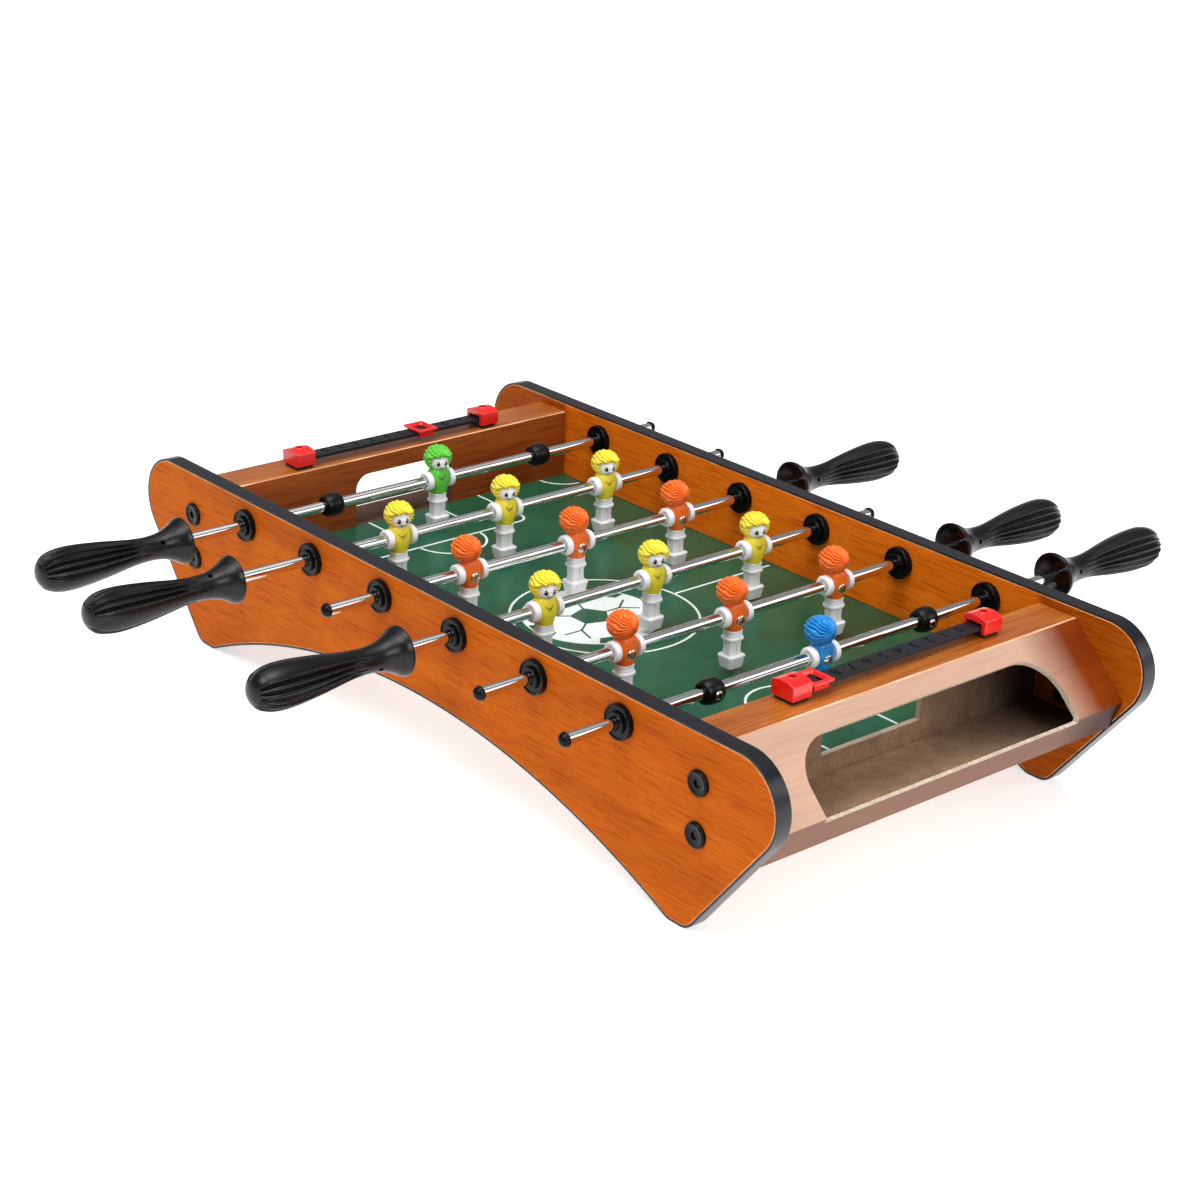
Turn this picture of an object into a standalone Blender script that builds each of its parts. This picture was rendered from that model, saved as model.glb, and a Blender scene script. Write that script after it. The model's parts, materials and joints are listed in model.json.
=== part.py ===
"""Tabletop foosball table, modelled in metres.

Two side panels with feet carry two folded end boxes, a playing field and six rods of players. The origin
is on the floor under the table's centre: +X runs along the field, +Y along the rods towards the rear
panel, and +Z up. The table looks the same after half a turn about +Z, apart from the players' colours
and the set of their heads, the depth to which each handle is pressed on, where the two score sliders
stand and how far each end box's ball return mouth is cut down into its lip.
"""

import math

import bmesh
import bpy
from mathutils import Matrix, Vector

MM = 0.001

# Clearances
GAP = 0.3 * MM  # between pieces that touch
RUNNING_FIT = 0.25 * MM  # between a rod and the bore it runs in
CUT = 5 * MM  # how far a cutter runs past what it cuts

# Rods
ROD_SPACING = 82 * MM
ROD_COUNT = 6
ROD_RADIUS = 4 * MM
AXIS_HEIGHT = 115 * MM
ROD_END = 216 * MM  # from the rod's middle to the end of the bare rod
CAP_RADIUS = 5 * MM
CAP_LENGTH = 5.5 * MM
ROD_IN_HANDLE = 60 * MM

# Side panels and their edge bands
PANEL_OUTER_Y = 174 * MM
PANEL_THICKNESS = 12 * MM
PANEL_HALF_LENGTH = 341.5 * MM
PANEL_TOP = AXIS_HEIGHT + 19.5 * MM
SHOULDER_RADIUS = 34 * MM
ARCH_TOP = 56.5 * MM
ARCH_RADIUS = 600 * MM
FOOT_RADIUS = 14 * MM
FOOT_FLAT = 8 * MM
BAND_THICKNESS = 1.5 * MM
GROOVE_DEPTH = 3 * MM  # takes the edge of the playing field

# Playing field
FIELD_HALF_LENGTH = 249 * MM
FIELD_TOP = AXIS_HEIGHT - 42.2 * MM
FIELD_THICKNESS = 3.5 * MM

# End boxes, folded from one board
BOARD = 4 * MM
WALL_BOTTOM = 54 * MM
BOX_TOP = AXIS_HEIGHT + 11.7 * MM
SHELF_END_X = 281.3 * MM
FOLD_X = 327.3 * MM
FOLD_Z = AXIS_HEIGHT - 33.3 * MM
LIP_END_X = 318.5 * MM
LIP_BOTTOM = 59.5 * MM
TRAY_THICKNESS = 3 * MM
GOAL_HALF_WIDTH = 46 * MM
GOAL_TOP = AXIS_HEIGHT - 2 * MM
GOAL_CORNER = 12 * MM
RETURN_HALF_WIDTH = 117 * MM
RETURN_TOP = 15 * MM  # down the slope from the shelf's edge
RETURN_CORNER = 30 * MM
RETURN_INTO_LIP = {"left": 19 * MM, "right": 4 * MM}  # down the lip from the fold

# Bushes
BUSH_BARREL_RADIUS = 7 * MM
BUSH_FLANGE_RADIUS = 11.8 * MM
BUSH_FLANGE_THICKNESS = 4 * MM
BUSH_COLLAR_RADIUS = 7.5 * MM
BUSH_COLLAR_LENGTH = 1.5 * MM

# Handles: (distance from the bell's rim, radius), outside and then inside
HANDLE_OUTSIDE = (
    (0, 17),
    (3, 16.6),
    (9, 13),
    (17, 10),
    (27, 8.8),
    (42, 9.6),
    (66, 13.2),
    (90, 15.4),
    (103, 14.4),
    (111, 10),
    (115, 0),
)
HANDLE_INSIDE = ((0, 15.2), (4, 13.8), (9, 9))

# Stoppers on the goalkeepers' rods: (distance from the stopper's middle, radius)
STOPPER_Y = 98.5 * MM
STOPPER_OUTSIDE = ((7.6, 6), (6, 8.1), (2.4, 8.7), (-2.4, 8.7), (-6, 8.1), (-7.6, 6))

# Players: every height is measured from the rod's axis
PLAYER_SPACING = 97.5 * MM
SLEEVE_RADIUS = 7.5 * MM
SLEEVE_LENGTH = 26 * MM
PLAYER_BORE = ROD_RADIUS + GAP
HEAD = ((27.4, 0), (25, 6.8), (18.4, 10.8), (11.4, 8.6), (8.6, 5.6), (2, 5), (2, 0))
CHEST = ((8.6, 0), (6.6, 6.4), (1, 7.2), (-6, 6.8), (-11, 5.8), (-11, 0))
WAIST_TO_FOOT = (  # (height, half depth along X, half width along Y)
    (-8, 5, 5.5),
    (-11.4, 5.2, 5.8),
    (-17.2, 6.6, 7.2),
    (-17.9, 4.2, 5.4),
    (-28.3, 4.2, 5.4),
    (-29, 7.1, 7.8),
    (-38, 5.6, 6.2),
)
HEAD_SET = {  # how far each team's heads stand off their bodies' middle, in the table's X and Y
    "green": (0 * MM, 0 * MM),
    "yellow": (0 * MM, 0 * MM),
    "orange": (-1.2 * MM, -2.2 * MM),
    "blue": (-0.6 * MM, -1.6 * MM),
}

# Score counters: heights are measured from the shelf that they stand on
SCORE_X = 261 * MM
SCORE_SHIFT = 2.3 * MM  # the right rail's middle lies this far to the rear, the left one's to the front
RAIL_WIDTH = 12.6 * MM
RAIL_BOTTOM = 5.2 * MM
RAIL_TOP = 7.9 * MM
RAIL_HALF_LENGTH = 94 * MM
RAIL_POST = (12 * MM, 13 * MM)
RAIL_PLATE = (16 * MM, 14 * MM)
RAIL_PLATE_TOP = 2.2 * MM
SCREW_RADIUS = 1.8 * MM
MOUNT_Y = 87.8 * MM  # from the rail's middle
MOUNT_WIDTH = 19.5 * MM
MOUNT_LENGTH = 17 * MM
MOUNT_BOTTOM = RAIL_PLATE_TOP + GAP
MOUNT_SIDE = 12.4 * MM
MOUNT_RISE = 2.4 * MM
MOUNT_WALL = 3 * MM
MOUNT_END_WALL = 2 * MM
MOUNT_CEILING = RAIL_TOP + 2 * MM
MOUNT_BOSS = (4 * MM, 15.2 * MM)  # radius and top
SLIDER_BODY = (16.6 * MM, 13 * MM)
SLIDER_PLATE = (21 * MM, 18 * MM)
SLIDER_WINDOW = (12.5 * MM, 10 * MM)
SLIDER_BOTTOM = 4 * MM
SLIDER_TOP = 10.5 * MM

# Each rod from left to right: the side its handle is on (-1 front, 1 rear), how far the bell's rim is
# from the table's middle, and who stands on it.
RODS = (
    (-1, 228 * MM, "green_goalkeeper"),
    (-1, 239 * MM, "yellow_defender"),
    (1, 215.5 * MM, "orange_attacker"),
    (-1, 219 * MM, "yellow_attacker"),
    (1, 217 * MM, "orange_defender"),
    (1, 231 * MM, "blue_goalkeeper"),
)
ROD_REST_Y = -1.5 * MM  # where every rod's middle rests
SLIDER_REST_Y = {"left": 24 * MM, "right": -67.5 * MM}

COLOURS = {  # name: (linear colour, roughness, metallic)
    "panel_laminate": ((0.56, 0.17, 0.03), 0.35, 0.0),
    "edge_band": ((0.025, 0.026, 0.03), 0.45, 0.0),
    "end_board": ((0.62, 0.32, 0.15), 0.45, 0.0),
    "raw_board": ((0.25, 0.16, 0.10), 0.9, 0.0),
    "field_green": ((0.02, 0.13, 0.07), 0.3, 0.0),
    "rod_steel": ((0.72, 0.72, 0.73), 0.12, 1.0),
    "black_plastic": ((0.012, 0.012, 0.014), 0.35, 0.0),
    "black_rubber": ((0.02, 0.02, 0.022), 0.6, 0.0),
    "red_plastic": ((0.75, 0.02, 0.02), 0.3, 0.0),
    "green": ((0.10, 0.50, 0.06), 0.4, 0.0),
    "yellow": ((0.85, 0.65, 0.04), 0.4, 0.0),
    "orange": ((0.90, 0.16, 0.01), 0.4, 0.0),
    "blue": ((0.02, 0.20, 0.65), 0.4, 0.0),
}


# Scene and materials


def clear_scene():
    for thing in list(bpy.data.objects):
        bpy.data.objects.remove(thing, do_unlink=True)


def make_collection(name):
    group = bpy.data.collections.new(name)
    bpy.context.scene.collection.children.link(group)
    return group


def make_materials():
    made = {}
    for name, (colour, roughness, metallic) in COLOURS.items():
        material = bpy.data.materials.new(name)
        material.use_nodes = True
        shader = material.node_tree.nodes["Principled BSDF"]
        shader.inputs["Base Color"].default_value = (*colour, 1)
        shader.inputs["Roughness"].default_value = roughness
        shader.inputs["Metallic"].default_value = metallic
        made[name] = material
    return made


clear_scene()
TABLE = make_collection("foosball_table")
CUTTERS = make_collection("cutters")
MATERIALS = make_materials()


# Placing


ALONG_Y = Matrix.Rotation(math.radians(-90), 4, "X")  # turns local +Z to +Y
UPRIGHT = Matrix.Rotation(math.radians(90), 4, "X")  # stands an XY outline up in the XZ plane
ACROSS_X = Matrix(((0, 0, 1, 0), (1, 0, 0, 0), (0, 1, 0, 0), (0, 0, 0, 1)))  # XY outline to the YZ plane
HALF_TURN = Matrix.Rotation(math.pi, 4, "Z")


def place(name, mesh, colour, matrix=Matrix(), parent=None):
    """Puts a mesh into the table as one named piece."""
    thing = bpy.data.objects.new(name, mesh)
    TABLE.objects.link(thing)
    mesh.materials.clear()
    mesh.materials.append(MATERIALS[colour])
    mesh.shade_smooth()
    mesh.set_sharp_from_angle(angle=math.radians(35))
    thing.parent = parent
    thing.matrix_local = matrix
    return thing


def make_empty(name, location):
    empty = bpy.data.objects.new(name, None)
    empty.empty_display_size = 20 * MM
    empty.location = location
    TABLE.objects.link(empty)
    return empty


# Shapes


def arc(centre, radius, start, end, steps):
    """Points along an arc with both its ends; angles in degrees."""
    angles = [math.radians(start + (end - start) * i / steps) for i in range(steps + 1)]
    return [(centre[0] + radius * math.cos(a), centre[1] + radius * math.sin(a)) for a in angles]


def rectangle(width, height, middle=(0, 0)):
    x, y = middle
    return [(x + sx * width / 2, y + sy * height / 2) for sx, sy in ((-1, -1), (1, -1), (1, 1), (-1, 1))]


def evaluated_mesh(thing):
    """The object's mesh with its modifiers applied; the object itself is removed."""
    bpy.context.view_layer.update()
    seen = thing.evaluated_get(bpy.context.evaluated_depsgraph_get())
    mesh = bpy.data.meshes.new_from_object(seen)
    bpy.data.objects.remove(thing, do_unlink=True)
    return mesh


def cleaned(mesh):
    """The mesh with its seams welded and its faces pointing out."""
    form = bmesh.new()
    form.from_mesh(mesh)
    bmesh.ops.remove_doubles(form, verts=form.verts, dist=0.002 * MM)
    bmesh.ops.recalc_face_normals(form, faces=form.faces)
    form.to_mesh(mesh)
    form.free()
    return mesh


def flat_solid(outlines, thickness):
    """A slab in the XY plane, half of it on each side; the outlines inside the first are its holes."""
    curve = bpy.data.curves.new("outline", "CURVE")
    curve.dimensions = "2D"
    curve.fill_mode = "BOTH"
    curve.extrude = thickness / 2
    for outline in outlines:
        spline = curve.splines.new("POLY")
        spline.points.add(len(outline) - 1)
        for point, (x, y) in zip(spline.points, outline):
            point.co = (x, y, 0, 1)
        spline.use_cyclic_u = True
    thing = bpy.data.objects.new("outline", curve)
    TABLE.objects.link(thing)
    return cleaned(evaluated_mesh(thing))


def block(width, depth, low, high, middle=(0, 0)):
    """A box by its size along X and Y and its lowest and highest Z."""
    mesh = flat_solid([rectangle(width, depth, middle)], high - low)
    mesh.transform(Matrix.Translation((0, 0, (low + high) / 2)))
    return mesh


def turned(profile, sides, closed=False):
    """A body turned about Z from (radius, height) points that run down its outside."""
    count = len(profile)
    edges = [(i, i + 1) for i in range(count - 1)]
    if closed:
        edges.append((count - 1, 0))
    mesh = bpy.data.meshes.new("turned")
    mesh.from_pydata([(radius, 0, height) for radius, height in profile], edges, [])
    thing = bpy.data.objects.new("turned", mesh)
    TABLE.objects.link(thing)
    screw = thing.modifiers.new("turn", "SCREW")
    screw.axis = "Z"
    screw.angle = math.tau
    screw.steps = sides
    screw.render_steps = sides
    screw.use_merge_vertices = True
    screw.merge_threshold = 0.01 * MM
    return cleaned(evaluated_mesh(thing))


def cylinder(radius, length, sides):
    """A cylinder along Z, centred on the origin."""
    form = bmesh.new()
    bmesh.ops.create_cone(
        form, cap_ends=True, segments=sides, radius1=radius, radius2=radius, depth=length
    )
    mesh = bpy.data.meshes.new("cylinder")
    form.to_mesh(mesh)
    form.free()
    return mesh


def lofted(sections):
    """A body through rectangular (height, half depth, half width) sections, from the top down."""
    form = bmesh.new()
    rings = []
    for height, half_x, half_y in sections:
        corners = ((half_x, half_y), (-half_x, half_y), (-half_x, -half_y), (half_x, -half_y))
        rings.append([form.verts.new((x, y, height)) for x, y in corners])
    form.faces.new(rings[0])
    form.faces.new(reversed(rings[-1]))
    for upper, lower in zip(rings, rings[1:]):
        for i in range(4):
            j = (i + 1) % 4
            form.faces.new((upper[i], lower[i], lower[j], upper[j]))
    bmesh.ops.recalc_face_normals(form, faces=form.faces)
    mesh = bpy.data.meshes.new("loft")
    form.to_mesh(mesh)
    form.free()
    return mesh


def combined(mesh, steps):
    """The mesh after each (operation, other mesh, other's matrix) Boolean in turn."""
    thing = bpy.data.objects.new("combined", mesh)
    TABLE.objects.link(thing)
    others = []
    for operation, other_mesh, matrix in steps:
        other = bpy.data.objects.new("cutter", other_mesh)
        CUTTERS.objects.link(other)
        other.matrix_world = matrix
        other.hide_render = True
        other.display_type = "WIRE"
        boolean = thing.modifiers.new(operation.lower(), "BOOLEAN")
        boolean.operation = operation
        boolean.solver = "EXACT"
        boolean.object = other
        others.append(other)
    result = cleaned(evaluated_mesh(thing))
    for other in others:
        bpy.data.objects.remove(other, do_unlink=True)
    return result


# Side panels


def panel_outline(inset):
    """The panel's outline in (x, z): straight top, round shoulders, sloping sides, feet and a wide arch."""
    arch = Vector((0, ARCH_TOP - ARCH_RADIUS))
    heel_x = math.sqrt((ARCH_RADIUS + FOOT_RADIUS) ** 2 - (FOOT_RADIUS - arch.y) ** 2)
    heel = Vector((heel_x, FOOT_RADIUS))
    toe = Vector((heel_x + FOOT_FLAT, FOOT_RADIUS))
    shoulder = Vector((PANEL_HALF_LENGTH - SHOULDER_RADIUS, PANEL_TOP - SHOULDER_RADIUS))
    down = toe - shoulder
    side = math.atan2(down.y, down.x) + math.acos((SHOULDER_RADIUS - FOOT_RADIUS) / down.length)
    side = math.degrees(side)
    meeting = math.degrees(math.atan2(heel.y - arch.y, heel.x))
    right = (
        arc(shoulder, SHOULDER_RADIUS - inset, 90, 0, 8)
        + arc(shoulder, SHOULDER_RADIUS - inset, 0, side, 3)[1:]
        + arc(toe, FOOT_RADIUS - inset, side, -90, 3)
        + arc(heel, FOOT_RADIUS - inset, -90, meeting - 180, 2)
        + arc(arch, ARCH_RADIUS + inset, meeting, 90, 8)[1:]
    )
    left = [(-x, z) for x, z in reversed(right[:-1])]
    return right + left


def rod_x(number):
    """Where rod 1 to 6 stands along the table."""
    return (number - (ROD_COUNT + 1) / 2) * ROD_SPACING


def make_side_panels():
    holes = [
        arc((rod_x(number), AXIS_HEIGHT), BUSH_BARREL_RADIUS + 2 * GAP, 0, 330, 11)
        for number in range(1, ROD_COUNT + 1)
    ]
    slab = flat_solid([panel_outline(BAND_THICKNESS + GAP), *holes], PANEL_THICKNESS)
    band = flat_solid([panel_outline(0), panel_outline(BAND_THICKNESS)], PANEL_THICKNESS)
    slab.transform(UPRIGHT)
    band.transform(UPRIGHT)
    groove = block(
        2 * FIELD_HALF_LENGTH,
        2 * GROOVE_DEPTH,
        FIELD_TOP - FIELD_THICKNESS - GAP,
        FIELD_TOP + GAP,
        (0, PANEL_THICKNESS / 2),
    )
    slab = combined(slab, [("DIFFERENCE", groove, Matrix())])
    middle_y = PANEL_OUTER_Y - PANEL_THICKNESS / 2
    front = Matrix.Translation((0, -middle_y, 0))
    for side, matrix in (("front", front), ("rear", HALF_TURN @ front)):
        place(f"side_panel_{side}", slab.copy(), "panel_laminate", matrix)
        place(f"edge_band_{side}", band.copy(), "edge_band", matrix)


def make_playing_field():
    half_width = PANEL_OUTER_Y - PANEL_THICKNESS + GROOVE_DEPTH - GAP
    board = block(
        2 * (FIELD_HALF_LENGTH - GAP), 2 * half_width, FIELD_TOP - FIELD_THICKNESS, FIELD_TOP
    )
    place("playing_field", board, "field_green")


# End boxes


def inward(path):
    """The path moved in by the board's thickness, with its last point kept at its own height."""
    normals = []
    for start, end in zip(path, path[1:]):
        run = (end - start).normalized()
        normals.append(Vector((run.y, -run.x)))
    moved = [path[0] + normals[0] * BOARD]
    for before, after, corner in zip(normals, normals[1:], path[1:]):
        moved.append(corner + (before + after) / (1 + before.dot(after)) * BOARD)
    moved.append(path[-1] + Vector((BOARD / normals[-1].x, 0)))
    return moved


def make_end_boxes():
    outside = [
        Vector((FIELD_HALF_LENGTH, WALL_BOTTOM)),
        Vector((FIELD_HALF_LENGTH, BOX_TOP)),
        Vector((SHELF_END_X, BOX_TOP)),
        Vector((FOLD_X, FOLD_Z)),
        Vector((LIP_END_X, LIP_BOTTOM)),
    ]
    inside = inward(outside)
    width = 2 * (PANEL_OUTER_Y - PANEL_THICKNESS - GAP)
    folded = flat_solid([[tuple(p) for p in outside + inside[::-1]]], width)
    folded.transform(UPRIGHT)

    goal = [
        (GOAL_HALF_WIDTH, FIELD_TOP),
        *arc((GOAL_HALF_WIDTH - GOAL_CORNER, GOAL_TOP - GOAL_CORNER), GOAL_CORNER, 0, 90, 5),
        *arc((GOAL_CORNER - GOAL_HALF_WIDTH, GOAL_TOP - GOAL_CORNER), GOAL_CORNER, 90, 180, 5),
        (-GOAL_HALF_WIDTH, FIELD_TOP),
    ]
    goal_cutter = flat_solid([goal], BOARD + 2 * CUT)
    goal_place = Matrix.Translation((FIELD_HALF_LENGTH + BOARD / 2, 0, 0)) @ ACROSS_X

    slope = outside[3] - outside[2]
    corner_down = -(RETURN_TOP + RETURN_CORNER)
    corner_y = RETURN_HALF_WIDTH - RETURN_CORNER
    mouth_down = 1 * MM - slope.length
    mouth = [
        (RETURN_HALF_WIDTH, mouth_down),
        *arc((corner_y, corner_down), RETURN_CORNER, 0, 90, 6),
        *arc((-corner_y, corner_down), RETURN_CORNER, 90, 180, 6),
        (-RETURN_HALF_WIDTH, mouth_down),
    ]
    mouth_cutter = flat_solid([mouth], 2 * (BOARD + CUT))
    up = Vector((-slope.x, 0, -slope.y)).normalized()
    out = Vector((-slope.y, 0, slope.x)).normalized()
    mouth_place = Matrix.Translation((SHELF_END_X, 0, BOX_TOP)) @ Matrix(
        ((0, up.x, out.x, 0), (1, 0, 0, 0), (0, up.z, out.z, 0), (0, 0, 0, 1))
    )

    tray_low_x = FIELD_HALF_LENGTH + BOARD + GAP
    tray_high_x = inside[-1].x - GAP
    tray_top = LIP_BOTTOM - GAP
    tray = block(
        tray_high_x - tray_low_x,
        width,
        tray_top - TRAY_THICKNESS,
        tray_top,
        ((tray_low_x + tray_high_x) / 2, 0),
    )
    lip = (outside[4] - outside[3]).normalized()
    lip_out = Vector((-lip.y, lip.x))
    for side, matrix in (("left", HALF_TURN), ("right", Matrix())):
        end_of_cut = outside[3] + lip * RETURN_INTO_LIP[side]
        notch = [
            end_of_cut + lip_out * CUT,
            outside[3] + lip_out * CUT,
            outside[3] + Vector((0, BOARD)),
            outside[3] + Vector((-2 * BOARD, BOARD)),
            end_of_cut - lip_out * 2 * BOARD,
        ]
        notch_cutter = flat_solid([[tuple(p) for p in notch]], 2 * RETURN_HALF_WIDTH)
        notch_cutter.transform(UPRIGHT)
        cut_out = combined(
            folded.copy(),
            [
                ("DIFFERENCE", goal_cutter, goal_place),
                ("DIFFERENCE", mouth_cutter, mouth_place),
                ("DIFFERENCE", notch_cutter, Matrix()),
            ],
        )
        place(f"end_box_{side}", cut_out, "end_board", matrix)
        place(f"ball_tray_{side}", tray.copy(), "raw_board", matrix)


# Score counters


def score_rail():
    """A raised bar with a post and a foot plate at each end, and a screw hole down through each."""
    bar = block(RAIL_WIDTH, 2 * RAIL_HALF_LENGTH, RAIL_BOTTOM, RAIL_TOP)
    steps = []
    for end in (-1, 1):
        post_y = end * (RAIL_HALF_LENGTH - RAIL_POST[1] / 2 - 0.1 * MM)
        post = block(*RAIL_POST, RAIL_PLATE_TOP / 2, (RAIL_BOTTOM + RAIL_TOP) / 2, (0, post_y))
        plate = block(*RAIL_PLATE, GAP, RAIL_PLATE_TOP, (0, end * MOUNT_Y))
        steps += [("UNION", post, Matrix()), ("UNION", plate, Matrix())]
    for end in (-1, 1):
        hole = cylinder(SCREW_RADIUS, 2 * (RAIL_TOP + CUT), 12)
        steps.append(("DIFFERENCE", hole, Matrix.Translation((0, end * MOUNT_Y, 0))))
    return combined(bar, steps)


def score_mount():
    """An arched cover, closed at its far end, that holds a rail's end and is screwed down."""
    half = MOUNT_WIDTH / 2
    radius = (half**2 + MOUNT_RISE**2) / (2 * MOUNT_RISE)
    spread = math.degrees(math.asin(half / radius))
    centre = (0, MOUNT_SIDE + MOUNT_RISE - radius)
    outline = [
        (-half, MOUNT_BOTTOM),
        (half, MOUNT_BOTTOM),
        *arc(centre, radius, 90 - spread, 90 + spread, 8),
    ]
    arch = flat_solid([outline], MOUNT_LENGTH)
    arch.transform(UPRIGHT)
    boss_radius, boss_top = MOUNT_BOSS
    boss = cylinder(boss_radius, boss_top - MOUNT_SIDE, 16)
    tunnel = block(
        MOUNT_WIDTH - 2 * MOUNT_WALL, MOUNT_LENGTH, -CUT, MOUNT_CEILING, (0, -MOUNT_END_WALL)
    )
    hole = cylinder(SCREW_RADIUS + 0.4 * MM, 2 * (MOUNT_SIDE + CUT), 12)
    return combined(
        arch,
        [
            ("UNION", boss, Matrix.Translation((0, 0, (boss_top + MOUNT_SIDE) / 2))),
            ("DIFFERENCE", tunnel, Matrix()),
            ("DIFFERENCE", hole, Matrix.Translation((0, 0, MOUNT_SIDE))),
        ],
    )


def score_slider():
    """A clip round the rail, with a window that frames one number."""
    body = block(*SLIDER_BODY, SLIDER_BOTTOM, RAIL_TOP + 1 * MM)
    plate = block(*SLIDER_PLATE, RAIL_TOP + GAP, SLIDER_TOP)
    tunnel = block(RAIL_WIDTH + 2 * GAP, 2 * SLIDER_PLATE[1], RAIL_BOTTOM - GAP, RAIL_TOP + GAP)
    slot = block(RAIL_WIDTH - 4 * MM, 2 * SLIDER_PLATE[1], SLIDER_BOTTOM - CUT, RAIL_BOTTOM)
    window = block(*SLIDER_WINDOW, RAIL_TOP - 1 * MM, SLIDER_TOP + CUT)
    return combined(
        body,
        [
            ("UNION", plate, Matrix()),
            ("DIFFERENCE", tunnel, Matrix()),
            ("DIFFERENCE", slot, Matrix()),
            ("DIFFERENCE", window, Matrix()),
        ],
    )


def make_score_counters():
    rail, mount, slider = score_rail(), score_mount(), score_slider()
    for side, sign in (("left", -1), ("right", 1)):
        x, middle_y = sign * SCORE_X, sign * SCORE_SHIFT
        at = Matrix.Translation((x, middle_y, BOX_TOP))
        place(f"score_rail_{side}", rail.copy(), "black_plastic", at)
        for end, turn, y in (("front", HALF_TURN, -MOUNT_Y), ("rear", Matrix(), MOUNT_Y)):
            at = Matrix.Translation((x, middle_y + y, BOX_TOP)) @ turn
            place(f"score_mount_{side}_{end}", mount.copy(), "red_plastic", at)
        empty = make_empty(f"score_slider_{side}_axis", (x, SLIDER_REST_Y[side], BOX_TOP))
        place(f"score_slider_{side}", slider.copy(), "red_plastic", parent=empty)


# Rods and what is on them


def bush_mesh():
    """A spool through the panel: a flange and a collar on each face, and a bore for the rod."""
    bore = ROD_RADIUS + RUNNING_FIT
    face = PANEL_THICKNESS / 2 + GAP
    flange = face + BUSH_FLANGE_THICKNESS
    collar = flange + BUSH_COLLAR_LENGTH
    upper = [
        (bore, collar),
        (BUSH_COLLAR_RADIUS, collar),
        (BUSH_COLLAR_RADIUS, flange),
        (BUSH_FLANGE_RADIUS, flange),
        (BUSH_FLANGE_RADIUS, face),
        (BUSH_BARREL_RADIUS, face),
    ]
    return turned(upper + [(radius, -height) for radius, height in reversed(upper)], 16, closed=True)


def rod_mesh(rim_at):
    """A rod and its rounded end cap; +Z points to the handle, whose bell's rim is at rim_at."""
    handle_end = rim_at + ROD_IN_HANDLE
    cap_start = -ROD_END
    dome = arc((0, cap_start - CAP_LENGTH + CAP_RADIUS), CAP_RADIUS, 0, -90, 4)
    profile = [
        (0, handle_end),
        (ROD_RADIUS, handle_end),
        (ROD_RADIUS, cap_start),
        (CAP_RADIUS, cap_start),
        *dome[:-1],
        (0, cap_start - CAP_LENGTH),
    ]
    return turned(profile, 16)


def handle_mesh():
    """A grip with a hollow bell round the rod; the bell's rim is at the origin and +Z runs to the tip."""
    bore = ROD_RADIUS + GAP
    bore_end = ROD_IN_HANDLE + GAP
    outside = [(radius * MM, height * MM) for height, radius in reversed(HANDLE_OUTSIDE)]
    inside = [(radius * MM, height * MM) for height, radius in HANDLE_INSIDE]
    last = inside[-1][1]
    return turned([*outside, *inside, (bore, last), (bore, bore_end), (0, bore_end)], 16)


def stopper_mesh():
    bore = ROD_RADIUS + GAP
    outside = [(radius * MM, height * MM) for height, radius in STOPPER_OUTSIDE]
    low, high = outside[-1][1], outside[0][1]
    return turned([*outside, (bore, low), (bore, high)], 16, closed=True)


def player_mesh(turn, head_set):
    """A player turned by a matrix from facing +X, with the rod's axis through the origin along Y."""
    chest = turned([(radius * MM, height * MM) for height, radius in CHEST], 12)
    head = turned([(radius * MM, height * MM) for height, radius in HEAD], 12)
    lower = lofted([(height * MM, x * MM, y * MM) for height, x, y in WAIST_TO_FOOT])
    sleeves = cylinder(SLEEVE_RADIUS, SLEEVE_LENGTH, 12)
    bore = cylinder(PLAYER_BORE, SLEEVE_LENGTH + 2 * CUT, 12)
    return combined(
        chest,
        [
            ("UNION", head, Matrix.Translation((*head_set, 0))),
            ("UNION", lower, turn),
            ("UNION", sleeves, ALONG_Y),
            ("DIFFERENCE", bore, ALONG_Y),
        ],
    )


def make_rods():
    bush, handle, stopper = bush_mesh(), handle_mesh(), stopper_mesh()
    panel_y = PANEL_OUTER_Y - PANEL_THICKNESS / 2
    for number, (side, rim_at, who) in enumerate(RODS, start=1):
        axis = make_empty(f"rod_{number}_axis", (rod_x(number), 0, AXIS_HEIGHT))
        to_handle = ALONG_Y if side > 0 else ALONG_Y @ Matrix.Rotation(math.pi, 4, "X")
        facing = HALF_TURN if side > 0 else Matrix()
        colour = who.split("_")[0]
        player = player_mesh(facing, HEAD_SET[colour])

        rod_at = Matrix.Translation((0, ROD_REST_Y, 0)) @ to_handle
        rod = rod_mesh(rim_at - side * ROD_REST_Y)
        place(f"rod_{number}", rod, "rod_steel", rod_at, axis)
        handle_at = Matrix.Translation((0, side * rim_at, 0)) @ to_handle
        place(f"handle_{number}", handle.copy(), "black_plastic", handle_at, axis)
        for end, sign in (("front", -1), ("rear", 1)):
            at = Matrix.Translation((0, sign * panel_y, 0)) @ ALONG_Y
            place(f"bush_{number}_{end}", bush.copy(), "black_plastic", at, axis)

        if who.endswith("goalkeeper"):
            at = Matrix.Translation((0, ROD_REST_Y, 0))
            place(who, player, colour, at, axis)
            for end, sign in (("front", -1), ("rear", 1)):
                at = Matrix.Translation((0, ROD_REST_Y + sign * STOPPER_Y, 0)) @ ALONG_Y
                place(f"stopper_{number}_{end}", stopper.copy(), "black_rubber", at, axis)
        else:
            for end, steps in (("front", -1), ("middle", 0), ("rear", 1)):
                at = Matrix.Translation((0, ROD_REST_Y + steps * PLAYER_SPACING, 0))
                place(f"{who}_{end}", player.copy(), colour, at, axis)


make_side_panels()
make_playing_field()
make_end_boxes()
make_score_counters()
make_rods()
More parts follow.
